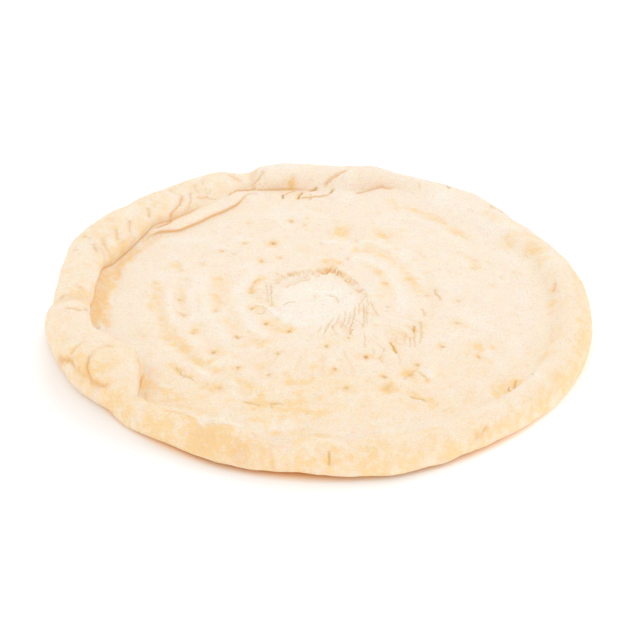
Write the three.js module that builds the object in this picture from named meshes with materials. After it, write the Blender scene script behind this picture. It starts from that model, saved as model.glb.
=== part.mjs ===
// Raw flatbread dough: one round of soft wheat dough, pressed thin in the middle in spiral finger
// tracks, with its edge rolled in by hand. The roll is fat and hangs over the floor on the left,
// doubles into a second ply at the back left, folds over itself in a flap at the front left, and is
// only pressed up softly on the right.
//
// Millimetres, +Z up. The origin is under the middle of the round, on the surface it lies on.
// Angles are in degrees, anticlockwise seen from above: 0 right, 90 back, 180 left, 270 front.
import * as THREE from "three";

// Sizes of the round.
const FLOOR_THICKNESS = 6.5;
const ROLL_WIDTH_MAX = 24; // the outer curve of the rim is no wider than this, whatever its slope inside
const FLOOR_MARGIN = 7; // level dough between the foot of the rim and the finger tracks
const DOUGH_COLOUR = 0xf1d7ac;

// The rim, station by station: outer radius, width from outer edge to foot, crest height, how far
// the inner face is a soft slope instead of a roll (0 to 1), the ply that the roll lies on (its height,
// its width, and how far it is a ramp instead of a ledge), and how far the lower edge is a sharp
// lifted one.
const RIM_STATIONS = [
  { at: 0, outer: 141, width: 21, crest: 14.5, soft: 0.85, ply: 0, plyWidth: 7, ramp: 0, lift: 0 },
  { at: 16, outer: 139.5, width: 20, crest: 13.5, soft: 0.9, ply: 0, plyWidth: 7, ramp: 0, lift: 0 },
  { at: 32, outer: 138.7, width: 24, crest: 12.5, soft: 1, ply: 0, plyWidth: 8, ramp: 0, lift: 0 },
  { at: 52, outer: 145, width: 34.3, crest: 12.5, soft: 1, ply: 0, plyWidth: 8, ramp: 0, lift: 0 },
  { at: 62, outer: 143, width: 21, crest: 13, soft: 0.9, ply: 1.5, plyWidth: 13, ramp: 1, lift: 0 },
  { at: 70, outer: 142, width: 14, crest: 13.5, soft: 0.6, ply: 2.5, plyWidth: 16, ramp: 1, lift: 0 },
  { at: 77, outer: 144, width: 21, crest: 16, soft: 0.6, ply: 0.5, plyWidth: 9, ramp: 1, lift: 0 },
  { at: 86, outer: 142.7, width: 22.7, crest: 15, soft: 0.75, ply: 0, plyWidth: 7, ramp: 0, lift: 0 },
  { at: 104.5, outer: 144.6, width: 20.5, crest: 16.2, soft: 0.2, ply: 0, plyWidth: 7, ramp: 0, lift: 0 },
  { at: 109, outer: 141.5, width: 17, crest: 14, soft: 0.3, ply: 1.5, plyWidth: 2, ramp: 0, lift: 0 },
  { at: 116, outer: 146, width: 26.7, crest: 16, soft: 0.8, ply: 4, plyWidth: 8.7, ramp: 0, lift: 0 },
  { at: 124, outer: 146, width: 29.5, crest: 16, soft: 0.65, ply: 4, plyWidth: 9.8, ramp: 0, lift: 0 },
  { at: 131, outer: 144, width: 29.8, crest: 16.5, soft: 0.35, ply: 4, plyWidth: 9.3, ramp: 0, lift: 0 },
  { at: 138, outer: 143.8, width: 29, crest: 17.2, soft: 0.3, ply: 4, plyWidth: 9.3, ramp: 0, lift: 0 },
  { at: 143, outer: 143.4, width: 25.9, crest: 17.7, soft: 0.1, ply: 3.5, plyWidth: 4, ramp: 0, lift: 0 },
  { at: 147, outer: 144, width: 27, crest: 18, soft: 0, ply: 1.5, plyWidth: 1.5, ramp: 0, lift: 0 },
  { at: 155, outer: 145, width: 28.5, crest: 18, soft: 0, ply: 0, plyWidth: 2, ramp: 1, lift: 0 },
  { at: 162, outer: 144.6, width: 27.6, crest: 18, soft: 0, ply: 0.5, plyWidth: 2, ramp: 1, lift: 0 },
  { at: 169, outer: 141, width: 22.3, crest: 18, soft: 0, ply: 4, plyWidth: 5.5, ramp: 1, lift: 0 },
  { at: 175, outer: 138.7, width: 21.3, crest: 18, soft: 0, ply: 5, plyWidth: 8, ramp: 1, lift: 0 },
  { at: 183, outer: 138, width: 20.8, crest: 18, soft: 0, ply: 5, plyWidth: 8, ramp: 1, lift: 0 },
  { at: 191, outer: 141.5, width: 22.5, crest: 19, soft: 0, ply: 4.5, plyWidth: 5.5, ramp: 1, lift: 0 },
  { at: 197, outer: 139.5, width: 20.5, crest: 19, soft: 0, ply: 1, plyWidth: 2, ramp: 1, lift: 0 },
  { at: 211, outer: 137, width: 30.5, crest: 18.5, soft: 0, ply: 1.5, plyWidth: 1.5, ramp: 1, lift: 0 },
  { at: 218, outer: 135, width: 27.2, crest: 17.4, soft: 0, ply: 2.8, plyWidth: 2, ramp: 1, lift: 0 },
  { at: 222, outer: 134, width: 21.5, crest: 16.5, soft: 0, ply: 3.5, plyWidth: 3, ramp: 1, lift: 0 },
  { at: 226, outer: 133.8, width: 12.8, crest: 14.8, soft: 0.05, ply: 2, plyWidth: 3, ramp: 1, lift: 0 },
  { at: 230, outer: 134, width: 11.3, crest: 13.5, soft: 0.1, ply: 0.5, plyWidth: 3, ramp: 1, lift: 0 },
  { at: 237.5, outer: 133, width: 14.5, crest: 14, soft: 0.3, ply: 0, plyWidth: 7, ramp: 0, lift: 0.1 },
  { at: 252, outer: 134.5, width: 18, crest: 14.5, soft: 0.4, ply: 0, plyWidth: 7, ramp: 0, lift: 1 },
  { at: 268, outer: 136, width: 17.5, crest: 14.5, soft: 0.5, ply: 0, plyWidth: 7, ramp: 0, lift: 1 },
  { at: 284, outer: 139, width: 22, crest: 14.5, soft: 0.7, ply: 0, plyWidth: 7, ramp: 0, lift: 0.9 },
  { at: 299, outer: 138.7, width: 19.7, crest: 14, soft: 0.85, ply: 0, plyWidth: 7, ramp: 0, lift: 0.5 },
  { at: 320, outer: 140.5, width: 19, crest: 14.5, soft: 0.7, ply: 0, plyWidth: 7, ramp: 0, lift: 0.1 },
  { at: 340, outer: 141.5, width: 21, crest: 15, soft: 0.85, ply: 0, plyWidth: 7, ramp: 0, lift: 0 },
];

// Thumb dents in the rim: where it is locally narrower and lower, over a span of degrees.
const DENTS = [
  { at: 245, span: 2.4, narrower: 5.5, lower: 1 },
  { at: 258, span: 2.5, narrower: 3, lower: 0.5 },
  { at: 262, span: 2.6, narrower: 8.5, lower: 1.6 },
  { at: 275.5, span: 3, narrower: 3, lower: 0.5 },
  { at: 290.5, span: 3, narrower: 4, lower: 0.6 },
];

// Creases across the roll: angle on the crest, degrees that it slants from the outer edge to the
// foot, depth and half width in degrees.
const ROLL_CREASES = [
  { at: 107, slant: 4, depth: 1.2, half: 1.5 },
  { at: 187, slant: 2, depth: 1, half: 1.6 },
  { at: 258, slant: -4, depth: 0.6, half: 1.5 },
];

// The curl of the flap at the front left: a crease in plan, between the flap and the edge under it.
const FLAP_CREASE = [
  [-107.5, -64],
  [-110, -74],
  [-105.5, -82],
  [-96.5, -86],
];
const FLAP_CREASE_DEPTH = 1.4;
const FLAP_CREASE_HALF = 2.2;
const CREASE_SAMPLES = 40;
const CREST_FROM = 0.16; // shares of the section over which its outer side turns into its top
const CREST_FULL = 0.24;

// Finger tracks pressed into the floor: radius at the start, how far the track winds in or out on
// its way, the angles it runs between, depth and half width.
const FINGER_TRACKS = [
  { radius: 86, winds: -6, from: 165, to: 238, depth: 1.1, half: 3.2 },
  { radius: 74, winds: -10, from: 160, to: 250, depth: 0.7, half: 2.6 },
  { radius: 53, winds: -7, from: 150, to: 240, depth: 0.9, half: 4 },
  { radius: 38, winds: 8, from: -10, to: 95, depth: 0.8, half: 2.8 },
  { radius: 58, winds: 5, from: -45, to: 85, depth: 0.9, half: 3.2 },
  { radius: 92, winds: -4, from: 225, to: 290, depth: 0.7, half: 5 },
];
const TRACK_FADE = 14; // degrees over which a track comes in and dies out

// The twist in the middle: a round pit whose wall stands high at the back and drops away round to
// the front left, where the pit's own floor is the higher side.
const TWIST_STATIONS = [
  { at: 1, radius: 23, lip: 0.5 },
  { at: 15, radius: 25, lip: 0.9 },
  { at: 30, radius: 24.5, lip: 1 },
  { at: 49, radius: 25.5, lip: 1.1 },
  { at: 66, radius: 28.5, lip: 1.3 },
  { at: 78, radius: 32, lip: 1.5 },
  { at: 88, radius: 27.5, lip: 1.3 },
  { at: 103, radius: 28, lip: 1.2 },
  { at: 131, radius: 29.5, lip: 1 },
  { at: 146, radius: 29, lip: 0.8 },
  { at: 172, radius: 26, lip: 0.5 },
  { at: 194, radius: 25.5, lip: 0 },
  { at: 207, radius: 26, lip: -0.8 },
  { at: 220, radius: 22.5, lip: -1.6 },
  { at: 237, radius: 22, lip: -1.9 },
  { at: 250, radius: 22.5, lip: -1 },
  { at: 290, radius: 20, lip: -0.2 },
  { at: 345, radius: 21.5, lip: 0.4 },
];
const TWIST_PIT = 0.8;
const TWIST_WALL_HALF = 2;
const TWIST_LIP_REACH = 12;

// Soft hollows left by finger ends: place, depth and half width.
const HOLLOWS = [
  { x: 13, y: 70, depth: 0.8, half: 6 },
  { x: 37, y: 66, depth: 0.9, half: 5 },
  { x: -30, y: 76, depth: 0.6, half: 6 },
  { x: -77, y: 35, depth: 0.6, half: 4 },
  { x: -20, y: -22, depth: 1.1, half: 6 },
  { x: 79, y: -42, depth: 0.9, half: 5 },
  { x: 40, y: -33, depth: 0.8, half: 5 },
  { x: 47, y: -67, depth: 1, half: 6 },
  { x: -56, y: -72, depth: 0.9, half: 5 },
  { x: 88, y: -79, depth: 1, half: 7 },
];

// How finely the solid is divided.
const ANGLES = 180;
const RIM_STEPS = 21;
const OUTER_FLOOR_STEPS = 5;
const INNER_FLOOR_RADIUS = 62; // inside this, half as many angles are enough
const INNER_FLOOR_STEPS = 11;

const radians = THREE.MathUtils.degToRad;
const lerp = THREE.MathUtils.lerp;
const smoothstep = THREE.MathUtils.smoothstep;
const bell = (x, half) => Math.exp(-((x / half) ** 2));
const turnBetween = (a, b) => THREE.MathUtils.euclideanModulo(a - b + 180, 360) - 180;

// A value at an angle, from stations round the circle: cubic, and never beyond its two neighbours.
function aroundCircle(stations, key, angle) {
  const count = stations.length;
  const turn = THREE.MathUtils.euclideanModulo(angle - stations[0].at, 360) + stations[0].at;
  let i = count - 1;
  while (stations[i].at > turn) i -= 1;
  const place = (k) => stations[(k + count) % count].at + 360 * Math.floor(k / count);
  const value = (k) => stations[(k + count) % count][key];
  const slope = (k) => (value(k + 1) - value(k)) / (place(k + 1) - place(k));
  const tangent = (k) => {
    const [before, after] = [slope(k - 1), slope(k)];
    return before * after > 0 ? (2 * before * after) / (before + after) : 0;
  };
  const gap = place(i + 1) - place(i);
  const t = (turn - place(i)) / gap;
  return (
    value(i) * (1 + 2 * t) * (1 - t) ** 2 +
    tangent(i) * gap * t * (1 - t) ** 2 +
    value(i + 1) * t * t * (3 - 2 * t) -
    tangent(i + 1) * gap * t * t * (1 - t)
  );
}

function rimAt(angle) {
  const rim = {};
  for (const key of ["outer", "width", "crest", "soft", "ply", "plyWidth", "ramp", "lift"])
    rim[key] = aroundCircle(RIM_STATIONS, key, angle);
  for (const { at, span, narrower, lower } of DENTS) {
    const here = bell(turnBetween(angle, at), span);
    rim.width -= narrower * here;
    rim.crest -= lower * here;
  }
  return rim;
}

// Corners of the rim's section. Outside, with a round lower edge or a lifted one: [inset from the outer
// edge as a share of the width, share of the crest height]. Inside: [inset, share of the crest's height
// above the floor or the ply]. Ply: [share of its width out from its edge, share of its height].
const ROUND_CORNERS = [
  [0.95, 0],
  [0.6, 0],
  [-0.01, 0],
  [-0.05, 0.31],
  [0.04, 0.87],
  [0.4, 1.04],
];
const LIFTED_CORNERS = [
  [0.95, 0],
  [0.4, 0.06],
  [-0.02, 0.19],
  [-0.05, 0.23],
  [0.05, 0.84],
  [0.4, 1.04],
];
const ROLLED_CORNERS = [
  [0.82, 1.06],
  [1.1, 0.62],
  [0.97, 0],
  [0.99, 0],
];
const SOFT_CORNERS = [
  [0.6, 0.92],
  [0.78, 0.5],
  [0.95, 0.14],
  [1.1, 0],
];
const LEDGE_CORNERS = [
  [0.5, 0.95],
  [-0.1, 0.85],
  [0.08, 0],
];
const RAMP_CORNERS = [
  [0.66, 0.5],
  [0.34, 0.16],
  [0.04, 0],
];

// Two lists of corners, blended by a share.
const blend = (first, second, share) =>
  first.map((corner, i) => corner.map((value, k) => lerp(value, second[i][k], share)));

function sectionCorners(angle) {
  const { outer, width, crest, soft, ply, plyWidth, ramp, lift } = rimAt(angle);
  const rollWidth = Math.min(width, ROLL_WIDTH_MAX);
  const foot = FLOOR_THICKNESS + ply;
  const edge = outer - width - plyWidth;
  const corners = [];
  const add = (radius, height) => corners.push(new THREE.Vector2(radius, height));
  for (const [inset, rise] of blend(ROUND_CORNERS, LIFTED_CORNERS, lift))
    add(outer - inset * rollWidth, rise * crest);
  for (const [inset, rise] of blend(ROLLED_CORNERS, SOFT_CORNERS, soft))
    add(outer - inset * width, foot + rise * (crest - foot));
  for (const [out, rise] of blend(LEDGE_CORNERS, RAMP_CORNERS, ramp))
    add(edge + out * plyWidth, FLOOR_THICKNESS + rise * ply);
  add(edge - 0.5 * FLOOR_MARGIN, FLOOR_THICKNESS);
  add(edge - 2 * FLOOR_MARGIN, FLOOR_THICKNESS);
  return corners;
}

// The section at an angle as a smooth curve: a uniform cubic B-spline over its corners.
function sectionPoint(corners, share) {
  const spans = corners.length - 3;
  const i = Math.min(Math.floor(share * spans), spans - 1);
  const t = share * spans - i;
  const weights = [
    (1 - t) ** 3 / 6,
    (3 * t ** 3 - 6 * t * t + 4) / 6,
    (-3 * t ** 3 + 3 * t * t + 3 * t + 1) / 6,
    t ** 3 / 6,
  ];
  const point = new THREE.Vector2();
  weights.forEach((weight, k) => point.addScaledVector(corners[i + k], weight));
  return point;
}

// How deep the creases across the roll are, at an angle and a share of the way along the section.
const CREASED_FROM = 0.08;
const CREASED_TO = 0.6;
function rollCreaseDepth(angle, share) {
  const along = (share - CREASED_FROM) / (CREASED_TO - CREASED_FROM);
  if (along <= 0 || along >= 1) return 0;
  let depth = 0;
  for (const crease of ROLL_CREASES) {
    const centre = crease.at + crease.slant * (along - 0.5);
    depth += crease.depth * bell(turnBetween(angle, centre), crease.half);
  }
  return depth * Math.sin(Math.PI * along);
}

const flapCrease = new THREE.CatmullRomCurve3(
  FLAP_CREASE.map(([x, y]) => new THREE.Vector3(x, y, 0)),
).getPoints(CREASE_SAMPLES);

function flapCreaseDepth(x, y, share) {
  const nearest = Math.min(...flapCrease.map((p) => Math.hypot(p.x - x, p.y - y)));
  const onTop = smoothstep(share, CREST_FROM, CREST_FULL);
  return FLAP_CREASE_DEPTH * onTop * bell(nearest, FLAP_CREASE_HALF);
}

function trackDepth(radius, angle) {
  let depth = 0;
  for (const track of FINGER_TRACKS) {
    const middle = (track.from + track.to) / 2;
    const reach = (track.to - track.from) / 2;
    const turn = turnBetween(angle, middle);
    const centre = track.radius + (track.winds * (turn + reach)) / (2 * reach);
    const present = 1 - smoothstep(Math.abs(turn), reach - TRACK_FADE, reach);
    depth += track.depth * present * bell(radius - centre, track.half);
  }
  return depth;
}

function twistHeight(radius, angle) {
  const lip = aroundCircle(TWIST_STATIONS, "lip", angle);
  const beyond = radius - aroundCircle(TWIST_STATIONS, "radius", angle);
  const outside = smoothstep(beyond, -TWIST_WALL_HALF, TWIST_WALL_HALF);
  return -TWIST_PIT * (1 - outside) + lip * outside * bell(Math.max(beyond, 0), TWIST_LIP_REACH);
}

function floorHeight(x, y) {
  const radius = Math.hypot(x, y);
  const angle = THREE.MathUtils.radToDeg(Math.atan2(y, x));
  let height = FLOOR_THICKNESS + twistHeight(radius, angle) - trackDepth(radius, angle);
  for (const hollow of HOLLOWS)
    height -= hollow.depth * bell(Math.hypot(x - hollow.x, y - hollow.y), hollow.half);
  return height;
}

// One ring of the rim, at a share of the way along the section from underneath to the floor.
function rimRing(share) {
  const step = 1e-3;
  const ring = [];
  for (let j = 0; j < ANGLES; j += 1) {
    const angle = (360 * j) / ANGLES;
    const corners = sectionCorners(angle);
    const point = sectionPoint(corners, share);
    const along = sectionPoint(corners, Math.min(share + step, 1));
    along.sub(sectionPoint(corners, Math.max(share - step, 0))).normalize();
    const inward = new THREE.Vector2(-along.y, along.x);
    const [c, s] = [Math.cos(radians(angle)), Math.sin(radians(angle))];
    const flap = flapCreaseDepth(point.x * c, point.x * s, share);
    point.addScaledVector(inward, rollCreaseDepth(angle, share) + flap);
    ring.push(new THREE.Vector3(point.x * c, point.x * s, point.y));
  }
  return ring;
}

// A ring of the floor, at a share of the way in from one ring to a circle, with fewer angles if asked.
function floorRing(from, toRadius, share, every) {
  const ring = [];
  for (let j = 0; j < from.length; j += every) {
    const edge = from[j];
    const start = Math.hypot(edge.x, edge.y);
    const scale = lerp(start, toRadius, share) / start;
    const [x, y] = [edge.x * scale, edge.y * scale];
    ring.push(new THREE.Vector3(x, y, floorHeight(x, y)));
  }
  return ring;
}

function doughRings() {
  const rings = [];
  for (let i = 0; i <= RIM_STEPS; i += 1) rings.push(rimRing(i / RIM_STEPS));
  const rimEnd = rings[RIM_STEPS];
  for (let i = 1; i <= OUTER_FLOOR_STEPS; i += 1)
    rings.push(floorRing(rimEnd, INNER_FLOOR_RADIUS, i / OUTER_FLOOR_STEPS, 1));
  const innerStart = rings[rings.length - 1];
  for (let i = 1; i < INNER_FLOOR_STEPS; i += 1)
    rings.push(floorRing(innerStart, 0, i / INNER_FLOOR_STEPS, 2));
  return rings;
}

// The closed skin over the rings: a fan underneath, strips from ring to ring, and a fan on top.
function skin(rings, bottom, top) {
  const positions = [];
  const indices = [];
  const add = (v) => positions.push(v.x, v.y, v.z) / 3 - 1;
  const numbers = rings.map((ring) => ring.map(add));
  const fan = (ring, centre, flip) =>
    ring.forEach((a, j) => {
      const b = ring[(j + 1) % ring.length];
      indices.push(...(flip ? [b, a, centre] : [a, b, centre]));
    });
  fan(numbers[0], add(bottom), true);
  for (let i = 1; i < numbers.length; i += 1) {
    const [lower, upper] = [numbers[i - 1], numbers[i]];
    const every = lower.length / upper.length;
    upper.forEach((u, j) => {
      const uNext = upper[(j + 1) % upper.length];
      const at = (k) => lower[(j * every + k) % lower.length];
      const half = Math.ceil(every / 2);
      for (let k = 0; k < half; k += 1) indices.push(at(k), at(k + 1), u);
      indices.push(at(half), uNext, u);
      for (let k = half; k < every; k += 1) indices.push(at(k), at(k + 1), uNext);
    });
  }
  fan(numbers[numbers.length - 1], add(top), false);
  const geometry = new THREE.BufferGeometry();
  geometry.setAttribute("position", new THREE.Float32BufferAttribute(positions, 3));
  geometry.setIndex(indices);
  return geometry;
}

function doughGeometry() {
  const rings = doughRings();
  const geometry = skin(rings, new THREE.Vector3(), new THREE.Vector3(0, 0, floorHeight(0, 0)));
  geometry.computeBoundingBox();
  const { min, max } = geometry.boundingBox;
  geometry.translate(-(min.x + max.x) / 2, -(min.y + max.y) / 2, -min.z);
  geometry.computeVertexNormals();
  return geometry;
}

const dough = new THREE.Mesh(
  doughGeometry(),
  new THREE.MeshStandardMaterial({ color: DOUGH_COLOUR, roughness: 0.85, metalness: 0 }),
);
dough.name = "dough";

const flatbread = new THREE.Group();
flatbread.add(dough);

export default flatbread;
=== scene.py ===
"""Raw flatbread dough: one round of hand-rolled dough, dressed over its solid, on a pale studio floor.

The shape is worked out in millimetres about the twist in the middle of the round: +X to the right,
+Y away from the camera, +Z up. Angles are in degrees, anticlockwise seen from above.
"""

import itertools
import math

import bmesh
import bpy
import numpy as np
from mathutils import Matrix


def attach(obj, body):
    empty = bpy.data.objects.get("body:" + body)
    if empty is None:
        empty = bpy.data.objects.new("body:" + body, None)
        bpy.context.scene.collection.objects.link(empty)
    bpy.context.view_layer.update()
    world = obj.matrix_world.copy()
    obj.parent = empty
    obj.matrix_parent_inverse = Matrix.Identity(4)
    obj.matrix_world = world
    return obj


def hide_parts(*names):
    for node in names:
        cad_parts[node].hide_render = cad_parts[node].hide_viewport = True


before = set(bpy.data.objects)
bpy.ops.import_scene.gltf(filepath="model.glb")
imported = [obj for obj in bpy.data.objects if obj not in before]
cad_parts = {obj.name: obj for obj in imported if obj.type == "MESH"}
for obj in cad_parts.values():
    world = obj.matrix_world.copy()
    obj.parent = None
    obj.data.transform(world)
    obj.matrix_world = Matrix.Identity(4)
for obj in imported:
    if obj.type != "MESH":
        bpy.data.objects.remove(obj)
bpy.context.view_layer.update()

MM = 0.001

# Sizes of the round, as in the part's source.
FLOOR_THICKNESS = 6.5
ROLL_WIDTH_MAX = 24
FLOOR_MARGIN = 7

# The rim, station by station: angle, outer radius, width from outer edge to foot, crest height, how
# far the inner face is a soft slope instead of a roll, the ply that the roll lies on (its height, its
# width, and how far it is a ramp instead of a ledge), and how far the lower edge is a sharp lifted one.
RIM_KEYS = ("at", "outer", "width", "crest", "soft", "ply", "ply_width", "ramp", "lift")
RIM_STATIONS = (
    (0, 141, 21, 14.5, 0.85, 0, 7, 0, 0),
    (16, 139.5, 20, 13.5, 0.9, 0, 7, 0, 0),
    (32, 138.7, 24, 12.5, 1, 0, 8, 0, 0),
    (52, 145, 34.3, 12.5, 1, 0, 8, 0, 0),
    (62, 143, 21, 13, 0.9, 1.5, 13, 1, 0),
    (70, 142, 14, 13.5, 0.6, 2.5, 16, 1, 0),
    (77, 144, 21, 16, 0.6, 0.5, 9, 1, 0),
    (86, 142.7, 22.7, 15, 0.75, 0, 7, 0, 0),
    (104.5, 144.6, 20.5, 16.2, 0.2, 0, 7, 0, 0),
    (109, 141.5, 17, 14, 0.3, 1.5, 2, 0, 0),
    (116, 146, 26.7, 16, 0.8, 4, 8.7, 0, 0),
    (124, 146, 29.5, 16, 0.65, 4, 9.8, 0, 0),
    (131, 144, 29.8, 16.5, 0.35, 4, 9.3, 0, 0),
    (138, 143.8, 29, 17.2, 0.3, 4, 9.3, 0, 0),
    (143, 143.4, 25.9, 17.7, 0.1, 3.5, 4, 0, 0),
    (147, 144, 27, 18, 0, 1.5, 1.5, 0, 0),
    (155, 145, 28.5, 18, 0, 0, 2, 1, 0),
    (162, 144.6, 27.6, 18, 0, 0.5, 2, 1, 0),
    (169, 141, 22.3, 18, 0, 4, 5.5, 1, 0),
    (175, 138.7, 21.3, 18, 0, 5, 8, 1, 0),
    (183, 138, 20.8, 18, 0, 5, 8, 1, 0),
    (191, 141.5, 22.5, 19, 0, 4.5, 5.5, 1, 0),
    (197, 139.5, 20.5, 19, 0, 1, 2, 1, 0),
    (211, 137, 30.5, 18.5, 0, 1.5, 1.5, 1, 0),
    (218, 135, 27.2, 17.4, 0, 2.8, 2, 1, 0),
    (222, 134, 21.5, 16.5, 0, 3.5, 3, 1, 0),
    (226, 133.8, 12.8, 14.8, 0.05, 2, 3, 1, 0),
    (230, 134, 11.3, 13.5, 0.1, 0.5, 3, 1, 0),
    (237.5, 133, 14.5, 14, 0.3, 0, 7, 0, 0.1),
    (252, 134.5, 18, 14.5, 0.4, 0, 7, 0, 1),
    (268, 136, 17.5, 14.5, 0.5, 0, 7, 0, 1),
    (284, 139, 22, 14.5, 0.7, 0, 7, 0, 0.9),
    (299, 138.7, 19.7, 14, 0.85, 0, 7, 0, 0.5),
    (320, 140.5, 19, 14.5, 0.7, 0, 7, 0, 0.1),
    (340, 141.5, 21, 15, 0.85, 0, 7, 0, 0),
)

# Thumb dents in the rim: angle, half span in degrees, how much narrower and lower the rim is there.
DENTS = (
    (245, 2.4, 5.5, 1),
    (258, 2.5, 3, 0.5),
    (262, 2.6, 8.5, 1.6),
    (275.5, 3, 3, 0.5),
    (290.5, 3, 4, 0.6),
)

# Corners of the rim's section. Outside: inset from the outer edge as a share of the width, and share of
# the crest height, with a round lower edge or a lifted one. Inside: inset, and share of the crest's
# height above the floor or the ply.
ROUND_CORNERS = ((0.95, 0), (0.6, 0), (-0.01, 0), (-0.05, 0.31), (0.04, 0.87), (0.4, 1.04))
LIFTED_CORNERS = ((0.95, 0), (0.4, 0.06), (-0.02, 0.19), (-0.05, 0.23), (0.05, 0.84), (0.4, 1.04))
ROLLED_CORNERS = ((0.82, 1.06), (1.1, 0.62), (0.97, 0), (0.99, 0))
SOFT_CORNERS = ((0.6, 0.92), (0.78, 0.5), (0.95, 0.14), (1.1, 0))

# Corners of the ply: share of its width out from its edge, and share of its height.
LEDGE_CORNERS = ((0.5, 0.95), (-0.1, 0.85), (0.08, 0))
RAMP_CORNERS = ((0.66, 0.5), (0.34, 0.16), (0.04, 0))

# Corners on the level floor: margins in from the ply's edge.
LEVEL_CORNERS = (0.5, 2)

# Creases across the roll: angle on the crest, slant in degrees from the outer edge to the foot,
# depth, and half width in degrees. They run between two shares of the way along the section.
ROLL_CREASES = (
    (107, 4, 1.2, 1.5),
    (187, 2, 1, 1.6),
    (258, -4, 0.6, 1.5),
)
CREASED_FROM = 0.08
CREASED_TO = 0.6

# Finger tracks pressed into the floor: radius at the start, how far the track winds in or out on
# its way, the angles it runs between, depth and half width. Each fades over some degrees at its ends.
FINGER_TRACKS = (
    (86, -6, 165, 238, 1.1, 3.2),
    (74, -10, 160, 250, 0.7, 2.6),
    (53, -7, 150, 240, 0.9, 4),
    (38, 8, -10, 95, 0.8, 2.8),
    (58, 5, -45, 85, 0.9, 3.2),
    (92, -4, 225, 290, 0.7, 5),
)
TRACK_FADE = 14

# The twist in the middle: a round pit whose wall stands high at the back and drops away round to
# the front left, where the pit's own floor is the higher side. Each station is an angle, the wall's radius
# and the height of its lip, which sinks to the floor over a reach.
TWIST_KEYS = ("at", "radius", "lip")
TWIST_STATIONS = (
    (1, 23, 0.5),
    (15, 25, 0.9),
    (30, 24.5, 1),
    (49, 25.5, 1.1),
    (66, 28.5, 1.3),
    (78, 32, 1.5),
    (88, 27.5, 1.3),
    (103, 28, 1.2),
    (131, 29.5, 1),
    (146, 29, 0.8),
    (172, 26, 0.5),
    (194, 25.5, 0),
    (207, 26, -0.8),
    (220, 22.5, -1.6),
    (237, 22, -1.9),
    (250, 22.5, -1),
    (290, 20, -0.2),
    (345, 21.5, 0.4),
)
TWIST_PIT = 0.8
TWIST_LIP_REACH = 12

# The twist's wall: half widths of its steep part and of its slope, the steep part's share of the height,
# and the lip heights between which it comes to be torn.
WALL_STEEP_HALF = 0.4
WALL_SLOPE_HALF = 2.5
WALL_STEEP_SHARE = 0.45
TORN_LIP = (0.5, 1.4)

# The angle at which the wall's painted shade is brownest, with its span. Then, away from that angle and at
# it, how strongly the wall is marked darker and browned with painted shade, and half the width of the
# brown, which lies a little outside the wall.
BROWNEST_AT = 74
BROWNEST_SPAN = 30
WALL_MARKED = (0.6, 1)
WALL_BROWN = (0.45, 1)
WALL_BROWN_HALF = (0.6, 1.5)
WALL_BROWN_OUT = 0.2

# Soft hollows left by finger ends: place, half width and depth.
HOLLOWS = (
    (13, 70, 6, 0.8),
    (37, 66, 5, 0.9),
    (-30, 76, 6, 0.6),
    (-77, 35, 4, 0.6),
    (-20, -22, 6, 1.1),
    (79, -42, 5, 0.9),
    (40, -33, 5, 0.8),
    (47, -67, 6, 1),
    (-56, -72, 5, 0.9),
    (88, -79, 7, 1),
)

# Pits in the floor that are large enough to see one by one: place, half width and depth.
PITS = (
    (-16, 83.5, 0.78, 0.9),
    (-8, 79.5, 0.45, 0.6),
    (-41.5, 58.5, 0.59, 0.8),
    (-25.5, 58.5, 0.98, 1.3),
    (-54, 50, 0.59, 0.8),
    (-31.5, 39.5, 0.78, 1),
    (-21.5, 43, 0.52, 0.7),
    (-63, 36, 0.59, 0.5),
    (-74.5, 30, 0.45, 0.6),
    (-71, 21, 0.59, 0.6),
    (-87, 17, 0.52, 0.4),
    (-73, 1, 0.72, 0.8),
    (-70, -13, 0.65, 0.8),
    (-64, -30, 0.59, 0.7),
    (-53.5, -9.5, 0.65, 0.7),
    (-52, -46.5, 0.78, 1.3),
    (-41, -34, 0.85, 1.1),
    (-39, -60, 0.72, 1),
    (-24, -66, 0.65, 0.9),
    (-47.5, -76, 0.59, 0.7),
    (-27, -20.5, 0.78, 1.1),
    (-15, -27, 0.85, 1.2),
    (-34.5, -8, 0.65, 0.8),
    (-36, 7, 0.65, 0.7),
    (-20, -47.5, 0.72, 1),
    (4, -42, 0.65, 1),
    (15, -34.5, 0.59, 0.7),
    (8, -61, 0.72, 1.1),
    (13.5, -76.5, 0.85, 0.8),
    (23.5, -51, 0.91, 1.4),
    (30.5, -52, 0.52, 0.6),
    (32, -67.5, 0.72, 1.1),
    (33, -76, 1.8, 0.4),
    (44, -64, 1.4, 0.3),
    (62, -42, 0.65, 0.9),
    (71, -21, 0.78, 0.8),
    (73.5, -0.5, 0.78, 0.6),
    (79, -51, 0.72, 0.7),
    (57, 5.5, 0.52, 0.7),
    (36, 17, 0.59, 0.8),
    (36, -6.5, 0.65, 0.6),
    (48.5, -57.5, 0.65, 0.8),
    (54, 22, 0.52, 0.6),
    (94, 58.5, 0.52, 0.7),
    (106, 28, 0.59, 0.4),
    (93, 38, 0.52, 0.4),
    (58.5, 97, 0.59, 0.5),
    (79, 70, 0.52, 0.6),
    (-2, 5, 0.52, 0.5),
    (6.7, 115, 0.59, 1),
)

# Pores scattered over the floor: how many, the seed of their draw and how far out they lie, then ranges
# of the share of the floor's area within them, of half width, and of depth to half width.
PORES = 160
PORE_SEED = 5
PORE_REACH = 104
PORE_AREA = (0.05, 1)
PORE_HALF = (0.3, 0.6)
PORE_STEEPNESS = (0.4, 0.8)
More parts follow.
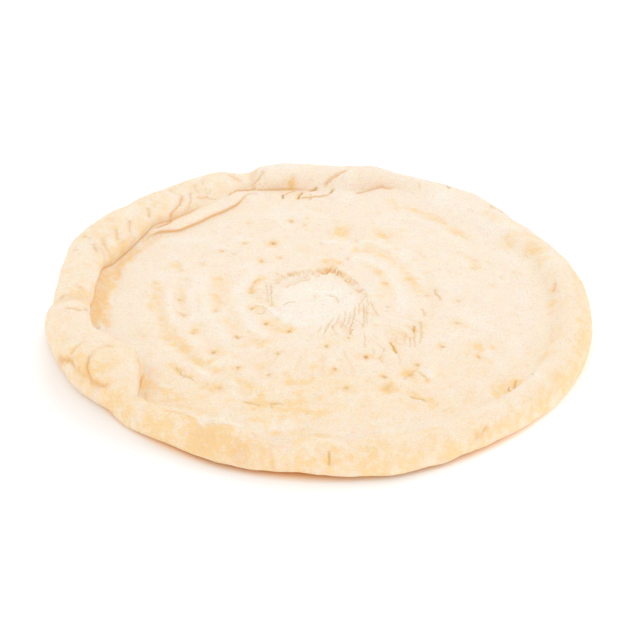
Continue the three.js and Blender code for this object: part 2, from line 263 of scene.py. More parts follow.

# How steeply a pit falls, how strongly a millimetre of depth colours it with painted shade and the most
# that it is coloured, the darker shade's width to the pit's, and half the width of its brown halo of
# painted shade, with what the pit's own adds.
PIT_POWER = 3
PIT_STRENGTH = 0.5
PIT_STRENGTH_MOST = 0.7
PIT_PAINTED_SHADE_WIDTH = 1.2
HALO_HALF = 1.1
HALO_WIDENS = 2

# Marks along lines, in plan: the points each runs through, the depth and half width of its groove,
# and how far the dough on its left hand stands above that on its right.
FLOOR_CRACKS = (
    (((-71, -58.5), (-68, -62), (-67, -65), (-64, -67.5), (-58, -70.5)), 0.5, 0.28, 0.15),
    (((-37, -85.5), (-34, -87), (-31, -88.5), (-26, -90)), 0.5, 0.28, 0.15),
    (((-25, -89), (-22, -88), (-19, -88.5), (-15, -89.5)), 0.6, 0.28, -0.15),
    (((-22.5, -88.5), (-21.5, -92.5)), 0.4, 0.35, 0),
    (((42, -81.5), (46, -85), (49, -86), (52, -88)), 0.6, 0.35, 0.3),
    (
        ((41, -71.5), (42, -67), (44.5, -64), (48, -62.5), (51, -65), (53, -69.5), (51, -72.5)),
        0.45, 0.45, -0.5,
    ),
    (((95.5, -70), (94, -74.5), (93.7, -79)), 0.7, 0.35, 0),
    (((93.5, -79), (95, -78.7), (97.5, -78)), 1, 0.35, 0.3),
    (((91.3, -76), (90.8, -78), (91.8, -80)), 0.7, 0.35, 0),
    (((103, -68.5), (102.3, -71), (102.8, -75)), 0.6, 0.3, 0),
    (((3, 6.5), (8, 5), (10, 2), (10.5, -3)), 0.4, 0.38, 0),
    (((-19, -4), (-15, 0), (-11, -1)), 0.4, 0.41, 0),
    (((61, 13), (62.5, 7), (64.5, -1)), 0.6, 0.38, 0),
)
TEARS = (
    (((-21, 116.5), (-21.3, 109.5)), 1.5, 0.6, 0),
    (((-9.5, 119), (-11, 114), (-13, 109)), 1.5, 0.55, 0),
    (((-13, 110), (-8, 111), (0, 112.5), (5, 114), (7, 117.5)), 0.6, 0.5, 0.6),
    (((6.7, 116.5), (8.8, 120.5)), 1.2, 0.5, 0),
    (((-21, 115), (-17, 118.5), (-13, 119)), 0.6, 0.5, 0.4),
    (((-7, 120), (-4, 119.5), (0, 121.5)), 0.9, 0.6, 0.4),
)
FRONT_SLIT = (
    (((4.8, -132), (4.6, -136.8)), 0.8, 0.4, 0),
)
TWIST_TEARS = (
    (((-24, 17), (-21.5, 18), (-19, 20)), 0.4, 0.25, 0),
    (((-18, 24.5), (-15.5, 25.5), (-12, 25.5)), 0.4, 0.3, 0),
    (((-8, 23), (-5.5, 27)), 0.4, 0.25, 0),
    (((-5, 25.5), (-2, 28)), 0.4, 0.25, 0),
    (((-2, 23.5), (0.5, 25.5)), 0.5, 0.3, 0),
    (((0.5, 27), (3.5, 28), (5.5, 29.5), (7.5, 32)), 0.7, 0.5, 0),
    (((6, 29), (9, 29.5), (10.5, 31.5)), 0.6, 0.45, 0),
    (((9.5, 27.5), (11.5, 26.5), (13.5, 25)), 0.7, 0.5, 0),
    (((13, 22), (15, 20), (17.5, 19)), 0.5, 0.3, 0),
    (((18, 19.5), (20, 17), (21.5, 14)), 0.5, 0.35, 0),
    (((18, 12), (20, 11), (22, 9.5), (24.5, 9)), 0.5, 0.3, 0),
    (((24.5, 8.5), (25, 4.5), (23.5, 1), (21.5, -3.5)), 0.4, 0.3, 0),
    (((16.5, 9), (17.5, 7)), 0.4, 0.3, 0),
)
STRETCH_MARKS = (
    (((19.3, 0), (18.4, -14.7), (14.6, -32)), 0.34, 0.25, 0),
    (((21.4, 0), (20.8, -15)), 0.29, 0.25, 0),
    (((23.4, -1), (23.5, -16), (22.2, -27)), 0.34, 0.25, 0),
    (((25, -3), (24.6, -24)), 0.29, 0.25, 0),
    (((27, 1), (28.5, -8.4), (31.5, -16)), 0.34, 0.25, 0),
    (((25.5, 1), (26.6, -7)), 0.29, 0.25, 0),
    (((14.4, -6), (13.2, -19), (10.5, -27)), 0.29, 0.25, 0),
    (((16.6, -8), (16, -17), (13.6, -26)), 0.25, 0.25, 0),
    (((11.5, -10), (9.3, -19), (5.8, -29)), 0.29, 0.25, 0),
    (((8, -13), (5, -24), (1.5, -34)), 0.29, 0.25, 0),
    (((5.4, -19), (2.5, -31)), 0.29, 0.25, 0),
    (((2, -22), (-1, -33)), 0.25, 0.25, 0),
    (((17.5, -25), (15, -33)), 0.44, 0.4, 0),
    (((23.2, -28), (23.2, -45)), 0.25, 0.25, 0),
    (((32.5, -41), (31.3, -58)), 0.25, 0.25, 0),
    (((40, -47), (40, -58)), 0.2, 0.25, 0),
    (((27.5, -42), (27, -55)), 0.2, 0.25, 0),
    (((52.6, -16), (52.4, -30), (50.2, -42)), 0.34, 0.35, 0),
    (((49, -23), (48, -45)), 0.29, 0.25, 0),
    (((48.5, -23), (48.7, -29)), 0.54, 0.6, 0),
    (((46.3, -31), (45.8, -43)), 0.29, 0.25, 0),
    (((44, -28), (43.4, -42)), 0.25, 0.25, 0),
    (((54, -7), (55, -15)), 0.29, 0.4, 0),
    (((36.2, -36), (37, -41.6), (39.2, -49)), 0.58, 0.5, 0),
    (((-28.3, 18), (-27, 6), (-26, -5)), 0.29, 0.25, 0),
    (((-25.6, 18), (-24.9, 4.4), (-24.2, -9)), 0.29, 0.25, 0),
    (((-34.7, 4.5), (-35.6, 12.5), (-34, 18.3), (-29.5, 21)), 0.25, 0.5, 0),
    (((-35.5, -10.5), (-33, -6), (-29.6, -6), (-27, -10)), 0.25, 0.4, 0),
    (((-33, -11), (-29.4, -12), (-27, -9)), 0.25, 0.4, 0),
    (((-19.5, 12.5), (-12, 18.7), (-2.5, 23.5)), 0.29, 0.3, 0),
    (((-18.5, 15.5), (-10, 22), (-3.6, 25)), 0.2, 0.25, 0),
)
ROLL_WRINKLES = (
    (((-123.5, 41), (-121, 35.5), (-119, 29)), 0.8, 0.55, 0),
    (((-120, 46), (-116, 38), (-113, 32)), 0.7, 0.55, 0),
    (((-119, 37), (-117, 32.5), (-115, 27)), 0.5, 0.55, 0),
    (((-135, 35), (-131, 32.5), (-128, 30.5)), 0.6, 0.5, 0),
    (((-130, 50), (-127, 46.5), (-124, 44)), 0.6, 0.5, 0),
    (((-120, 69), (-117, 65), (-113, 61)), 0.5, 0.55, 0),
    (((-112.5, 56), (-111, 49), (-110.5, 44)), 0.8, 0.65, 0),
    (((-106, 66), (-105, 59), (-104.5, 53)), 0.7, 0.65, 0),
    (((-97, 82), (-96, 75), (-95.4, 69)), 0.8, 0.7, 0),
    (((-79, 103), (-79.8, 89.5), (-81.7, 84), (-85.6, 75), (-91, 71), (-97, 68.5)), 1, 0.6, -0.5),
    (((-75, 104), (-74, 93.6), (-74.4, 86)), 0.7, 0.5, 0),
    (((-74, 96), (-70, 98), (-66, 100), (-62, 101), (-57, 102)), 0.4, 0.6, 0.5),
    (((-72.5, 111), (-72, 106), (-70, 100)), 0.6, 0.5, 0),
    (((-69, 118), (-68.5, 112), (-67, 108)), 0.6, 0.5, 0),
    (((-67, 109), (-66, 104), (-64.5, 103), (-63, 109)), 0.5, 0.5, 0),
    (((-87.5, 107), (-85.5, 102), (-83.5, 98)), 0.6, 0.55, 0),
    (((-55, 124), (-50, 120.5), (-45, 118)), 0.7, 1.2, 0),
    (((-39, 118), (-43.5, 115.5), (-48, 112.5), (-52.5, 106.5), (-55, 104.5)), 1, 0.6, 0.6),
    (((-41, 117), (-36.5, 120.5), (-33.2, 125.5), (-31.5, 129)), 0.9, 0.5, 0),
    (((-129, -26.5), (-123, -27.5), (-117, -28.5)), 0.8, 0.65, 0),
    (((-134, -15), (-132, -12.5), (-130, -11)), 0.9, 0.7, 0),
    (((-125, -3), (-122.5, -7), (-119.5, -10)), 0.5, 0.55, 0),
    (((2, 120.5), (10.3, 126.2), (18.2, 131.3)), 1.2, 0.9, 0),
    (((-14.5, 127), (-15.7, 122.6), (-19, 121.5)), 0.5, 1.2, 0),
    (((-5.5, 116), (-5, 111), (-6, 107)), 0.7, 0.6, 0),
    (((19, 115.5), (26, 117.4), (32, 119.4), (38, 120.4), (47, 117.5)), 1, 0.9, 0),
    (((59, 119), (59.5, 112.5)), 0.5, 0.7, 0),
    (((77, 111), (77, 117.5)), 1.6, 0.65, 0),
    (((97, 92.5), (101, 91), (103, 89), (107, 85)), 1, 0.65, 0),
    (((124.7, 10), (123.5, 2)), 0.8, 0.65, 0),
    (((70, -119), (74, -116), (78, -112)), 0.8, 0.9, 0),
)
FLAP_FOLDS = (
    (((-131, -51), (-125, -58.5), (-121, -63.5), (-118, -66.5), (-115, -71.5)), 1.6, 0.55, 1.2),
    (((-118, -66), (-115, -71.5), (-112, -75), (-108, -79)), 0.6, 1, 0.5),
    (
        ((-107.5, -64), (-109.8, -69), (-110, -74), (-107.6, -79.6), (-103.8, -83.4), (-96.5, -85.8)),
        1.4, 0.9, 0.4,
    ),
    (((-118, -65.7), (-117, -60), (-115.4, -57.3), (-112.5, -55.3)), 0.6, 0.6, 0),
    (((-109, -72), (-108, -65.4), (-105.6, -61.7), (-101, -59.5), (-97, -60.7)), 0.4, 0.9, 0.3),
)
FLAP_EDGE = (
    (((-108, -41), (-101, -47), (-96, -53), (-92.6, -57.4), (-89, -63.5), (-87, -67.5)), 0.7, 0.5, 0),
    (((-89.2, -57), (-85.8, -67), (-83.6, -75.6), (-83, -83), (-83.4, -90), (-86, -97)), 1.5, 1.2, 0),
    (((-115.5, -28), (-111.5, -25)), 1.8, 0.8, 0),
    (((-119, -26.5), (-116.5, -25.5)), 1.5, 0.7, 0),
)
FRONT_FOLDS = (
    (((-72, -104), (-62.4, -106.5), (-55.7, -110.2), (-50, -113.5)), 0.5, 0.6, -0.6),
    (
        ((-56, -119), (-52, -114.4), (-46.4, -113.6), (-41, -114.4), (-36, -117), (-33, -120)),
        0.7, 0.5, -1.2,
    ),
    (((-32, -118.5), (-25, -123), (-21.5, -127.7), (-17.4, -131.5)), 0.6, 0.6, -0.5),
    (
        ((-18, -132.5), (-15.7, -128.4), (-11.7, -125.3), (-6.4, -123), (1, -122.5), (7, -123)),
        0.7, 0.5, -1.1,
    ),
    (((13, -124.5), (18.7, -123.5), (21.4, -120), (25, -117), (30.6, -115.6), (34, -116.5)), 0.6, 0.5, -1),
    (((-22, -128), (-20.5, -132), (-20, -135.7)), 0.4, 0.9, 0.3),
)

# What each group of marks does to the colour, and how strongly: each paints shade along its groove, some
# darker and some brown.
MARK_GROUPS = (
    (FLOOR_CRACKS, "dark", 1.1),
    (TEARS, "dark", 1),
    (FRONT_SLIT, "stain", 1.2),
    (TWIST_TEARS, "stain", 1.1),
    (STRETCH_MARKS, "dark", 1.9),
    (ROLL_WRINKLES, "stain", 0.5),
    (FLAP_FOLDS, "stain", 0.6),
    (FLAP_EDGE, "stain", 0.2),
    (FRONT_FOLDS, "stain", 0.5),
)

# How far a lift reaches, half the width of its edge, the share of a mark that tapers at each end, the
# colour's width to the groove's, and the steps from point to point of a line.
LIFT_REACH = 5
LIFT_EDGE = 0.4
MARK_TAPER = 0.2
MARK_COLOUR_WIDTH = 1.1
CURVE_STEPS = 5

# Fans of fine wrinkles where the dough was stretched round the twist: the angles and radii each lies
# between, depth, and the degrees from one wrinkle to the next.
FANS = (
    (270, 350, 21, 36, 0.3, 3.2),
    (300, 345, 40, 62, 0.3, 2),
    (236, 300, 44, 70, 0.25, 2),
    (138, 190, 27, 36, 0.2, 4),
)

# The share of a fan that fades at its edges, a wrinkle's length, the random lumps to a wrinkle, their
# values between which it deepens, and the seed of the first fan's draw.
FAN_FADE = 0.35
FAN_LENGTH = 14
FAN_LUMPS = 1.6
FAN_RIDGE = (-0.1, 0.7)
FAN_SEED = 20

# Where the dough is tan rather than floury: places on it, with half width and strength.
TAN_PATCHES = (
    (-91, -30, 4, 0.5),
    (-4, -87, 13, 0.3),
    (-15, -97, 8, 0.2),
    (-65, -84, 12, 0.2),
    (-101, -74, 6, 0.3),
    (7, 37, 5, 1.6),
    (-21, -23, 7, 0.2),
    (5, -38, 3, 0.4),
    (13.5, -76, 3, 0.5),
    (94, -74, 6, 0.4),
    (-47, -10, 9, 0.2),
    (-128, -11, 5, 0.6),
    (-121, -9, 5, 0.45),
    (-31, -9, 2, 0.4),
    (-39, -129, 4, 0.6),
    (-51, -116, 8, 1.8),
    (-46, -122, 8, 1.4),
    (15.5, 70.5, 7, 0.55),
    (37, 67, 6, 0.7),
    (-78, 36, 3, 0.45),
    (-62, -26.5, 3, 0.45),
    (-8, 51, 4.5, 0.3),
    # These two paint the shade in the hollows in front of the twist's lip.
    (-26.5, -20, 2.2, 0.7),
    (-15, -25.5, 2.2, 0.8),
    (-2.5, -59, 3, 0.5),
    (-28.5, -60.5, 2.5, 0.4),
    (-19, -112, 2.5, 0.5),
    (39.5, -31, 3.5, 0.6),
    (48.5, -27.5, 2, 0.6),
    (33, -77.5, 3, 3.5),
    (93.4, -72.8, 1.8, 0.9),
    (44, -65, 2.8, 0.8),
    (106.5, -48, 3, 0.35),
    (106, 57, 5, 1),
    (117.5, 43, 5, 0.9),
    (120, 31, 4, 0.5),
    (-99.5, -72, 5, 0.6),
    (-111.5, -81, 4, 0.7),
    (-102, -88, 4, 0.6),
    (116.5, 56, 4, 0.4),
    (-17, 122, 3, 0.6),
    (-14, 114, 5, 0.5),
)

# Where it is browner still.
STAIN_PATCHES = (
    (33, -77.5, 2.4, 0.45),
    (45, -65, 2.4, 0.3),
    (-50, -122, 9, 0.22),
    (-35, -130, 6, 0.32),
    (7, 35, 4, 0.15),
    # These two paint the shade in the hollows in front of the twist's lip.
    (-26.5, -20, 1.6, 0.2),
    (-15, -26, 1.6, 0.25),
)

# Smears along lines: the points each runs through, half width and strength. The tan ones lie in shallow
# hollows and are partly painted shade there; the floury ones lie on low ridges and are partly painted
# highlight.
TAN_AND_SHADE_SMEARS = (
    (((43.5, 105), (53.5, 97.5), (66, 86), (77, 74.5), (82, 65.5)), 3, 0.6),
    (((81, 46.5), (84, 39.5), (86, 33)), 3, 0.35),
    (((20.5, 50.5), (27.5, 50), (36.5, 45.5), (42.5, 38), (46.5, 29.5), (50, 18), (54, 10)), 2.2, 0.5),
    (((27, 34.5), (34, 28), (36, 18), (37.5, 7)), 2, 0.35),
    (((-85.5, 11.5), (-85.5, -1), (-81, -14.5), (-76, -27.5), (-68.5, -39)), 2.8, 0.55),
    (((-73.5, 8.5), (-72, -1), (-69, -10.5)), 2, 0.45),
    (((-54, 21.5), (-53.5, 13), (-54, 1.5), (-51, -9), (-46, -20), (-40.5, -30)), 3.2, 0.4),
    (((-32.5, 19), (-35, 9.5)), 2, 0.7),
    (((-36.5, -39), (-28, -39)), 4, 0.35),
    (((-76.5, -34.5), (-70, -39.5), (-63, -48.5), (-56, -55.5)), 2.8, 0.45),
    (((-51, -61.5), (-44, -66), (-37, -72), (-30, -76.5)), 3, 0.4),
    (((-70.5, -59), (-66.5, -65), (-60.5, -69.5), (-55, -72.5), (-51, -78)), 2, 0.65),
    (((-75.5, -78), (-70, -81), (-65, -85.5)), 2, 0.4),
    (((-36.5, -86), (-31, -88.5), (-25.5, -90), (-20.5, -90.5)), 2.2, 0.7),
    (((-12.5, -72), (-8, -72.5), (-3.5, -72)), 3, 0.7),
    (((-12, -85.5), (-6.5, -87), (1.5, -84.5)), 3, 0.35),
    (((-17, -99), (-11, -98)), 3, 0.5),
    (((-31.5, -102), (-26.5, -103)), 4, 0.3),
    (((-2, -114.5), (4.5, -114.5)), 2, 0.45),
    (((43.5, -81.5), (47.5, -84.5), (52.5, -86)), 1.8, 0.8),
    (((41, -65.5), (47, -61.5), (51, -65.5), (53, -71.5)), 1.4, 0.6),
    (((78, -38.5), (80.5, -42.5), (79, -50.5)), 2.8, 0.65),
    (((85.4, -83), (90.5, -77.3), (95.6, -70.5)), 2.8, 1),
    (((36.5, -38.5), (38.5, -46.5)), 1.8, 0.7),
    (((118.5, -38), (114, -47.5), (109.5, -56.5)), 4, 0.35),
    (((-119, -62), (-114.5, -69), (-110, -74.5), (-105.5, -80.5)), 3, 0.6),
    (((97, 83.5), (102.5, 75)), 4, 0.4),
    (((123, 4.5), (122, -8)), 2.5, 0.6),
    # The next three paint shade: along the left roll's foot, beside the flap's edge, and in the strip under
    # the left roll.
    (((-93, 62.5), (-99.5, 54), (-105, 45), (-108.5, 35.5), (-110.5, 26)), 3.4, 0.8),
    (((-88, -57), (-84.5, -66), (-82, -73), (-81, -80), (-81, -88), (-83, -95)), 2.2, 0.4),
    (((-108.5, 26), (-110.5, 15), (-111.5, 0), (-110.5, -13), (-108.5, -22)), 2.2, 0.7),
)
FLOUR_AND_HIGHLIGHT_SMEARS = (
    (((1, 59.5), (19, 60.5), (30.5, 59.5), (39.5, 54), (47, 43), (53.5, 29.5), (57, 16.5)), 2.5, 0.52),
    (((1, 42), (14, 44), (25.5, 41), (34, 33), (39.5, 19.5), (43.5, 7), (44.5, -5.5)), 3, 0.52),
    (((38, 90.5), (47.5, 88.5), (60, 84), (70.5, 72), (78.5, 58.5), (83.5, 46.5)), 2, 0.38),
    (((-79.5, 10), (-78, -8), (-74, -21)), 2.5, 0.45),
    (((-68.5, 7), (-65.5, -9), (-65.5, -21), (-62, -39)), 2.2, 0.38),
    (((-63, 20), (-60, -1), (-54.5, -17), (-47.5, -34)), 2.8, 0.34),
    (((-35.5, 29.5), (-41.5, 10), (-39.5, -9), (-34.5, -21), (-28, -32.5)), 3, 0.45),
    (((-100, 56), (-88, 59), (-76.5, 60.5), (-66.5, 67)), 5, 0.38),
    # This one is flour and painted highlight on the lit lip in front of the twist.
    (((-24, -10), (-15.5, -16), (-6.5, -22)), 1.7, 1.5),
    (((-75, -93), (-66.5, -95), (-59.5, -99.5), (-53.5, -105)), 2.4, 0.9),
    (((-56, -101.5), (-49.5, -102.5), (-43.5, -102.5), (-35.5, -106.5)), 2.4, 0.9),
    (((-63.5, -57.5), (-57.5, -62), (-52.5, -70.5)), 1.7, 0.52),
    (((-41, -72.5), (-38, -85)), 2, 0.4),
    (((20, -56), (26.5, -56)), 2.2, 0.45),
    (((33.5, -46.5), (39.5, -49)), 2.2, 0.45),
    (((51.5, -61), (54.5, -69)), 1.8, 0.45),
    (((94.5, -76.5), (99, -75), (103, -72.5)), 1.8, 0.8),
    (((96, -83), (104, -76), (109, -66)), 3, 0.35),
    (((66, 105), (95, 75), (112, 38)), 10, 0.38),
    (((-60, 120), (-85, 102), (-103, 82)), 8, 0.4),
    (((-28, 132), (-10, 136)), 8, 0.38),
    (((-118, 64), (-128, 35), (-133, 0), (-130, -30)), 8, 0.3),
)
TAN_SMEAR_DEPTH = 0.4
FLOUR_SMEAR_RISE = 0.3

# How tan the floor is at the front, how far in front of the twist that starts and is in full, the rate
# at which tan adds up, and the most that it comes to.
FRONT_TAN = 0.27
FRONT_REACH = (20, 100)
TAN_RATE = 0.85
TAN_MOST = 1.5

# How tan the rim is, round the circle: on its outer face and on its top. On the outer face the tan is
# partly the bare dough's own colour and partly painted shade where the face turns from the light.
RIM_TAN_KEYS = ("at", "face", "top")
RIM_TAN = (
    (0, 1.05, 0.12),
    (20, 0.3, 0.1),
    (40, 0.05, -0.1),
    (70, 0.1, 0),
    (100, 0.25, 0.02),
    (130, 0.5, 0.34),
    (160, 0.4, 0.3),
    (190, 0.3, 0.25),
    (215, 0.6, 0.25),
    (232, 0.75, 0.45),
    (246, 1.3, 1),
    (256, 0.8, 0.35),
    (266, 0.85, 0.4),
    (285, 0.75, 0.35),
    (310, 0.55, 0.15),
    (325, 0.9, 0.15),
    (340, 1.15, 0.15),
)

# Loose flour: how thickly it lies in the twist's pit, the radii over which that ends, how thickly it
# drifts, and how far it hides the tan under it.
PIT_FLOUR = 0.6
FLOURED_PIT = (16.8, 24)
DRIFT_FLOUR = 0.35
FLOUR_HIDES = 0.5

# How strongly each form makes the dough tan, browns it or darkens it: all of it painted shade, in the
# hollows, grooves, pits, creases and coves, along the twist's wall and under the rim's lower edge.
TRACK_TAN = 0.2
HOLLOW_TAN = 0.25
PIT_TAN = 1.1
WALL_TAN = 2.2
COVE_TAN = 0.8
PIT_SHADE_BROWN = 0.3
WALL_SHADE_BROWN = 0.35
FAN_SHADE_BROWN = 0.7
CREASE_SHADE_BROWN = 0.3
FOOT_SHADE_BROWN = 0.8
LIP_SHADE_BROWN = 0.85
COVE_SHADE_BROWN = 0.35
UNDER_SHADE_BROWN = 0.8
WALL_PAINTED_SHADE = 0.15

# Brown lines of painted shade along the roll's foot and the ply's edge: the way over the surface at which
# each runs, half its width, and how rolled the inner face, or how high the ply, is as it comes to show.
FOOT_AT = 0.63
FOOT_HALF = 0.035
FOOT_ROLLED = (0.2, 0.75)
LIP_AT = 0.885
LIP_HALF = 0.03
LIP_PLY = (1, 4)

# The cove under a tight roll, painted tan and brown as shade there: the same for the roll and for the ply
# that ramps down from it.
COVE_ROLLED = (0.4, 0.8)
COVE_PLY = (2, 5)

# The ways over the surface at which the dough changes: where each change starts and is complete.
RELIEF_STARTS = (0.03, 0.12)
UNDER_SHADE_ENDS = (0.05, 0.1)
UNDER_TAN_ENDS = (0.06, 0.12)
MARKS_START = (0.12, 0.18)
PATCHES_START = (0.15, 0.25)
FACE_TAN_ENDS = (0.2, 0.36)
FLOUR_STARTS = (0.2, 0.4)
FACE_LUMPS_END = (0.3, 0.45)
TOP_TAN_ENDS = (0.5, 0.75)
FRONT_TAN_STARTS = (0.5, 0.9)
COVE_STARTS = (0.54, 0.62)
COVE_SHADE_ENDS = (0.8, 0.92)
COVE_TAN_ENDS = (0.84, 0.94)
FLOOR_STARTS = (0.8, 1)

# The step along the section over which its direction is taken.
SECTION_STEP = 1e-3

# Layers of random lumps, each drawn on a lattice of cells: its height, its size and the seed of its draw.
RIM_LUMPS = ((0.5, 17, 41), (0.3, 8, 42), (0.12, 3, 43))
FACE_LUMPS = ((1, 10, 44),)
FLOOR_LUMPS = ((0.2, 6, 32), (0.14, 2.6, 33))
FLOOR_STREAKS = ((0.22, 1, 31),)
MARK_WANDER = ((0.35, 2.2, 11), (0.245, 1, 15))
PIT_RAGGED = ((0.5, 1.1, 14),)
TWIST_JAGGED = ((0.9, 2.2, 12), (0.45, 1, 16))
WALL_DASHES = ((1, 1, 13),)
WALL_PATCHY = ((1, 2, 17),)
SMEAR_RAGGED = ((0.7, 3.5, 61), (0.35, 1.5, 62))
TAN_PATCHY = ((0.6, 7, 51), (0.5, 3, 52))
FLOUR_DRIFTS = ((1, 9, 53), (0.5, 4, 54))
LATTICE_CELLS = 48

# The values of those lumps between which the wall's dashes and its brown patches start and are in full.
DASH_EDGE = (-0.2, 0.3)
PATCH_EDGE = (-0.6, 0.3)

# Streaks round the twist: how wide each is, and how many random lumps go to the radian along it.
STREAK_WIDTH = 2.2
STREAKS_ROUND = 4

# The share of its lumps that the outer face has at the back and at the front, and how far to the front,
# as a sine, that changes.
FACE_LUMPY = (0.45, 0.85)
FACE_FRONT = (0.3, 0.7)

# How many half widths away a bell has all but ended.
BELL_REACH = 3

# How finely the dough is divided: angles round it, ways over the underside, and steps over the rim, over
# the floor and, with half the angles, over the middle. Edges whose ends are marked more strongly than BUSY
# are divided again, once for each spread of the marks.
ANGLES = 440
UNDERSIDE_WAYS = (-0.7, -0.35)
RIM_STEPS = 50
FLOOR_STEPS = 46
CENTRE_FROM = 1.74
CENTRE_STEPS = 17
MARK_SPREADS = (1, 0.35)
BUSY = 0.12

# Camera, as in the photograph: height above the horizon, distance, lens, sensor and where it looks.
CAMERA_ELEVATION = 33.95
CAMERA_DISTANCE = 700
CAMERA_LENS = 76.95
CAMERA_SENSOR = 36
CAMERA_AIM = (0.76, -20.73, 8)

# The dough's colours, the masks for them that its points carry, and its finish.
PALE = (0.97, 0.84, 0.698, 1)
# Flour, which also paints highlight on low ridges.
FLOUR_AND_HIGHLIGHT_COLOUR = (0.985, 0.935, 0.86, 1)
# Tan, which also paints shade on the rim's outer face, in hollows, coves and pits and underneath.
TAN = (0.965, 0.695, 0.36, 1)
# Brown for real spots and for painted shade in grooves, folds, creases, coves and pits; then a darker
# painted shade for pits, cracks and tears.
STAIN_AND_SHADE_COLOUR = (0.82, 0.42, 0.07, 1)
PAINTED_SHADE_COLOUR = (0.76, 0.46, 0.12, 1)
SHADE = (0.7, 0.54, 0.4, 1)
SPECK = (0.78, 0.55, 0.34, 1)
COLOUR_MASKS = ("dark", "stain", "tan", "flour_and_highlight")
DOUGH_FINISH = {
    "Roughness": 0.75,
    "Specular IOR Level": 0.2,
    "Subsurface Weight": 0.4,
    "Subsurface Radius": (1, 0.45, 0.18),
    "Subsurface Scale": 0.002,
}
BUMP_STRENGTH = 0.5
BUMP_HEIGHT = 0.0006

# Random masks over the dough: lumps to the metre, detail, and the range of values made into another.
NOISE_ROUGHNESS = 0.6
DOUGH_NOISES = {
    "mottle": (260, 5, (0.35, 0.65, 0.35, 1.65)),
    "grain": (750, 3, (0.45, 0.75, 0, 0.2)),
    "rough": (80, 2, (0.4, 0.62, 0.4, 1)),
    "speck": (560, 1, (0.6, 0.72, 0, 0.35)),
    "fine": (1500, 2, (0.3, 0.7, 0, 0.4)),
    "dust": (980, 1, (0.6, 0.7, 0, 0.35)),
}

# Sockets of a node that mixes colours, which share their names with those for numbers.
MIX_FACTOR = 0
MIX_FIRST = 6
MIX_SECOND = 7
MIX_COLOUR = 2

# The floor glows a little under the dough, and outside some discs, where the last one counts: the middle
# of each, where its edge starts and ends, and the strength.
UNDER_GLOW = (0.035, 0.02, 0.005, 1)
GLOWS = (
    ((-8, 4), (141, 156), 0.12),
    ((-60, 20), (185, 203), 0.24),
    ((60, 20), (182, 194), 0.14),
)

# The floor has a painted warm contact shadow where the dough lies, a painted soft shadow, a little darker,
# in discs to the left and right, and is plain elsewhere.
FOOTPRINT = ((4.5, -3), (129, 136))
CONTACT_SHADOW_FLOOR = (0.95, 0.56, 0.24, 1)
SHADES = (
    ((-60, -40), (74, 96)),
    ((70, -20), (64, 82)),
)
SHADED_FLOOR = (0.83, 0.8, 0.78, 1)
PLAIN_FLOOR = (0.96, 0.96, 0.96, 1)
FLOOR_FINISH = {"Roughness": 1, "Specular IOR Level": 0, "Emission Strength": 1}

# The studio, in metres and watts: half the floor's width, the light all round, and the lamps' places,
# sizes and powers.
STUDIO_HALF = 3
WORLD_COLOUR = (1, 1, 1, 1)
WORLD_STRENGTH = 1.02
LAMPS = (
    ("window_light", (0.45, 0.7, 1), 1, 1.2),
    ("front_fill", (0, -1.2, 0.6), 1.5, 0.8),
)


def columns(rows, keys):
    """Rows of numbers as one array for each key."""
    return dict(zip(keys, np.array(rows, float).T))


def between(first, second, share):
    return first + (second - first) * share


def smoothstep(x, low, high):
    """0 up to a low value, 1 from a high one on, and smooth between them."""
    t = np.clip((x - low) / (high - low), 0, 1)
    return t * t * (3 - 2 * t)


def bell(x, half):
    return np.exp(-((x / half) ** 2))


def turn_between(a, b):
    """The turn from angle b to angle a, from -180 to 180 degrees."""
    return (a - b + 180) % 360 - 180


def around_circle(stations, key, angle):
    """A value at each angle from stations round the circle: cubic, never beyond its neighbours."""
    at = stations["at"]
    value = stations[key]
    gap = np.diff(np.append(at, at[0] + 360))
    after = (np.roll(value, -1) - value) / gap
    before = np.roll(after, 1)
    same_way = before * after > 0
    tangent = np.where(same_way, 2 * before * after / np.where(same_way, before + after, 1), 0)
    turn = (angle - at[0]) % 360 + at[0]
    i = np.searchsorted(at, turn, side="right") - 1
    j = (i + 1) % len(at)
    t = (turn - at[i]) / gap[i]
    return (
        value[i] * (1 + 2 * t) * (1 - t) ** 2
        + tangent[i] * gap[i] * t * (1 - t) ** 2
        + value[j] * t * t * (3 - 2 * t)
        - tangent[j] * gap[i] * t * t * (1 - t)
    )


def lumps(points, size, seed):
    """Smooth random values from -1 to 1 at points (..., 3), in lumps about as wide as size."""
    cells = LATTICE_CELLS
    lattice = np.random.default_rng(seed).uniform(-1, 1, (cells, cells, cells))
    place = np.asarray(points, float) / size + cells / 2
    base = np.floor(place).astype(int)
    t = place - base
    t = t * t * (3 - 2 * t)
    total = np.zeros(place.shape[:-1])
    for corner in itertools.product((0, 1), repeat=3):
        weight = np.prod(np.where(corner, t, 1 - t), axis=-1)
        index = (base + corner) % cells
        total += weight * lattice[index[..., 0], index[..., 1], index[..., 2]]
    return total


def layered(points, layers):
    """Several layers of lumps, added up."""
    return sum(height * lumps(points, size, seed) for height, size, seed in layers)


def flat(x, y):
    """Points (..., 3) in plan, at no height."""
    return np.stack((x, y, 0 * x), -1)


def smooth_line(points):
    """A line through some points, rounded at its corners."""
    ends = np.array(points, float)
    ends = np.concatenate((2 * ends[:1] - ends[1:2], ends, 2 * ends[-1:] - ends[-2:-1]))
    t = (np.arange(CURVE_STEPS) / CURVE_STEPS)[:, None]
    line = []
    for a, b, c, d in zip(ends, ends[1:], ends[2:], ends[3:]):
        line.append(b + 0.5 * t * (c - a + t * (2 * a - 5 * b + 4 * c - d + t * (3 * (b - c) + d - a))))
    return np.concatenate((*line, ends[-2:-1]))


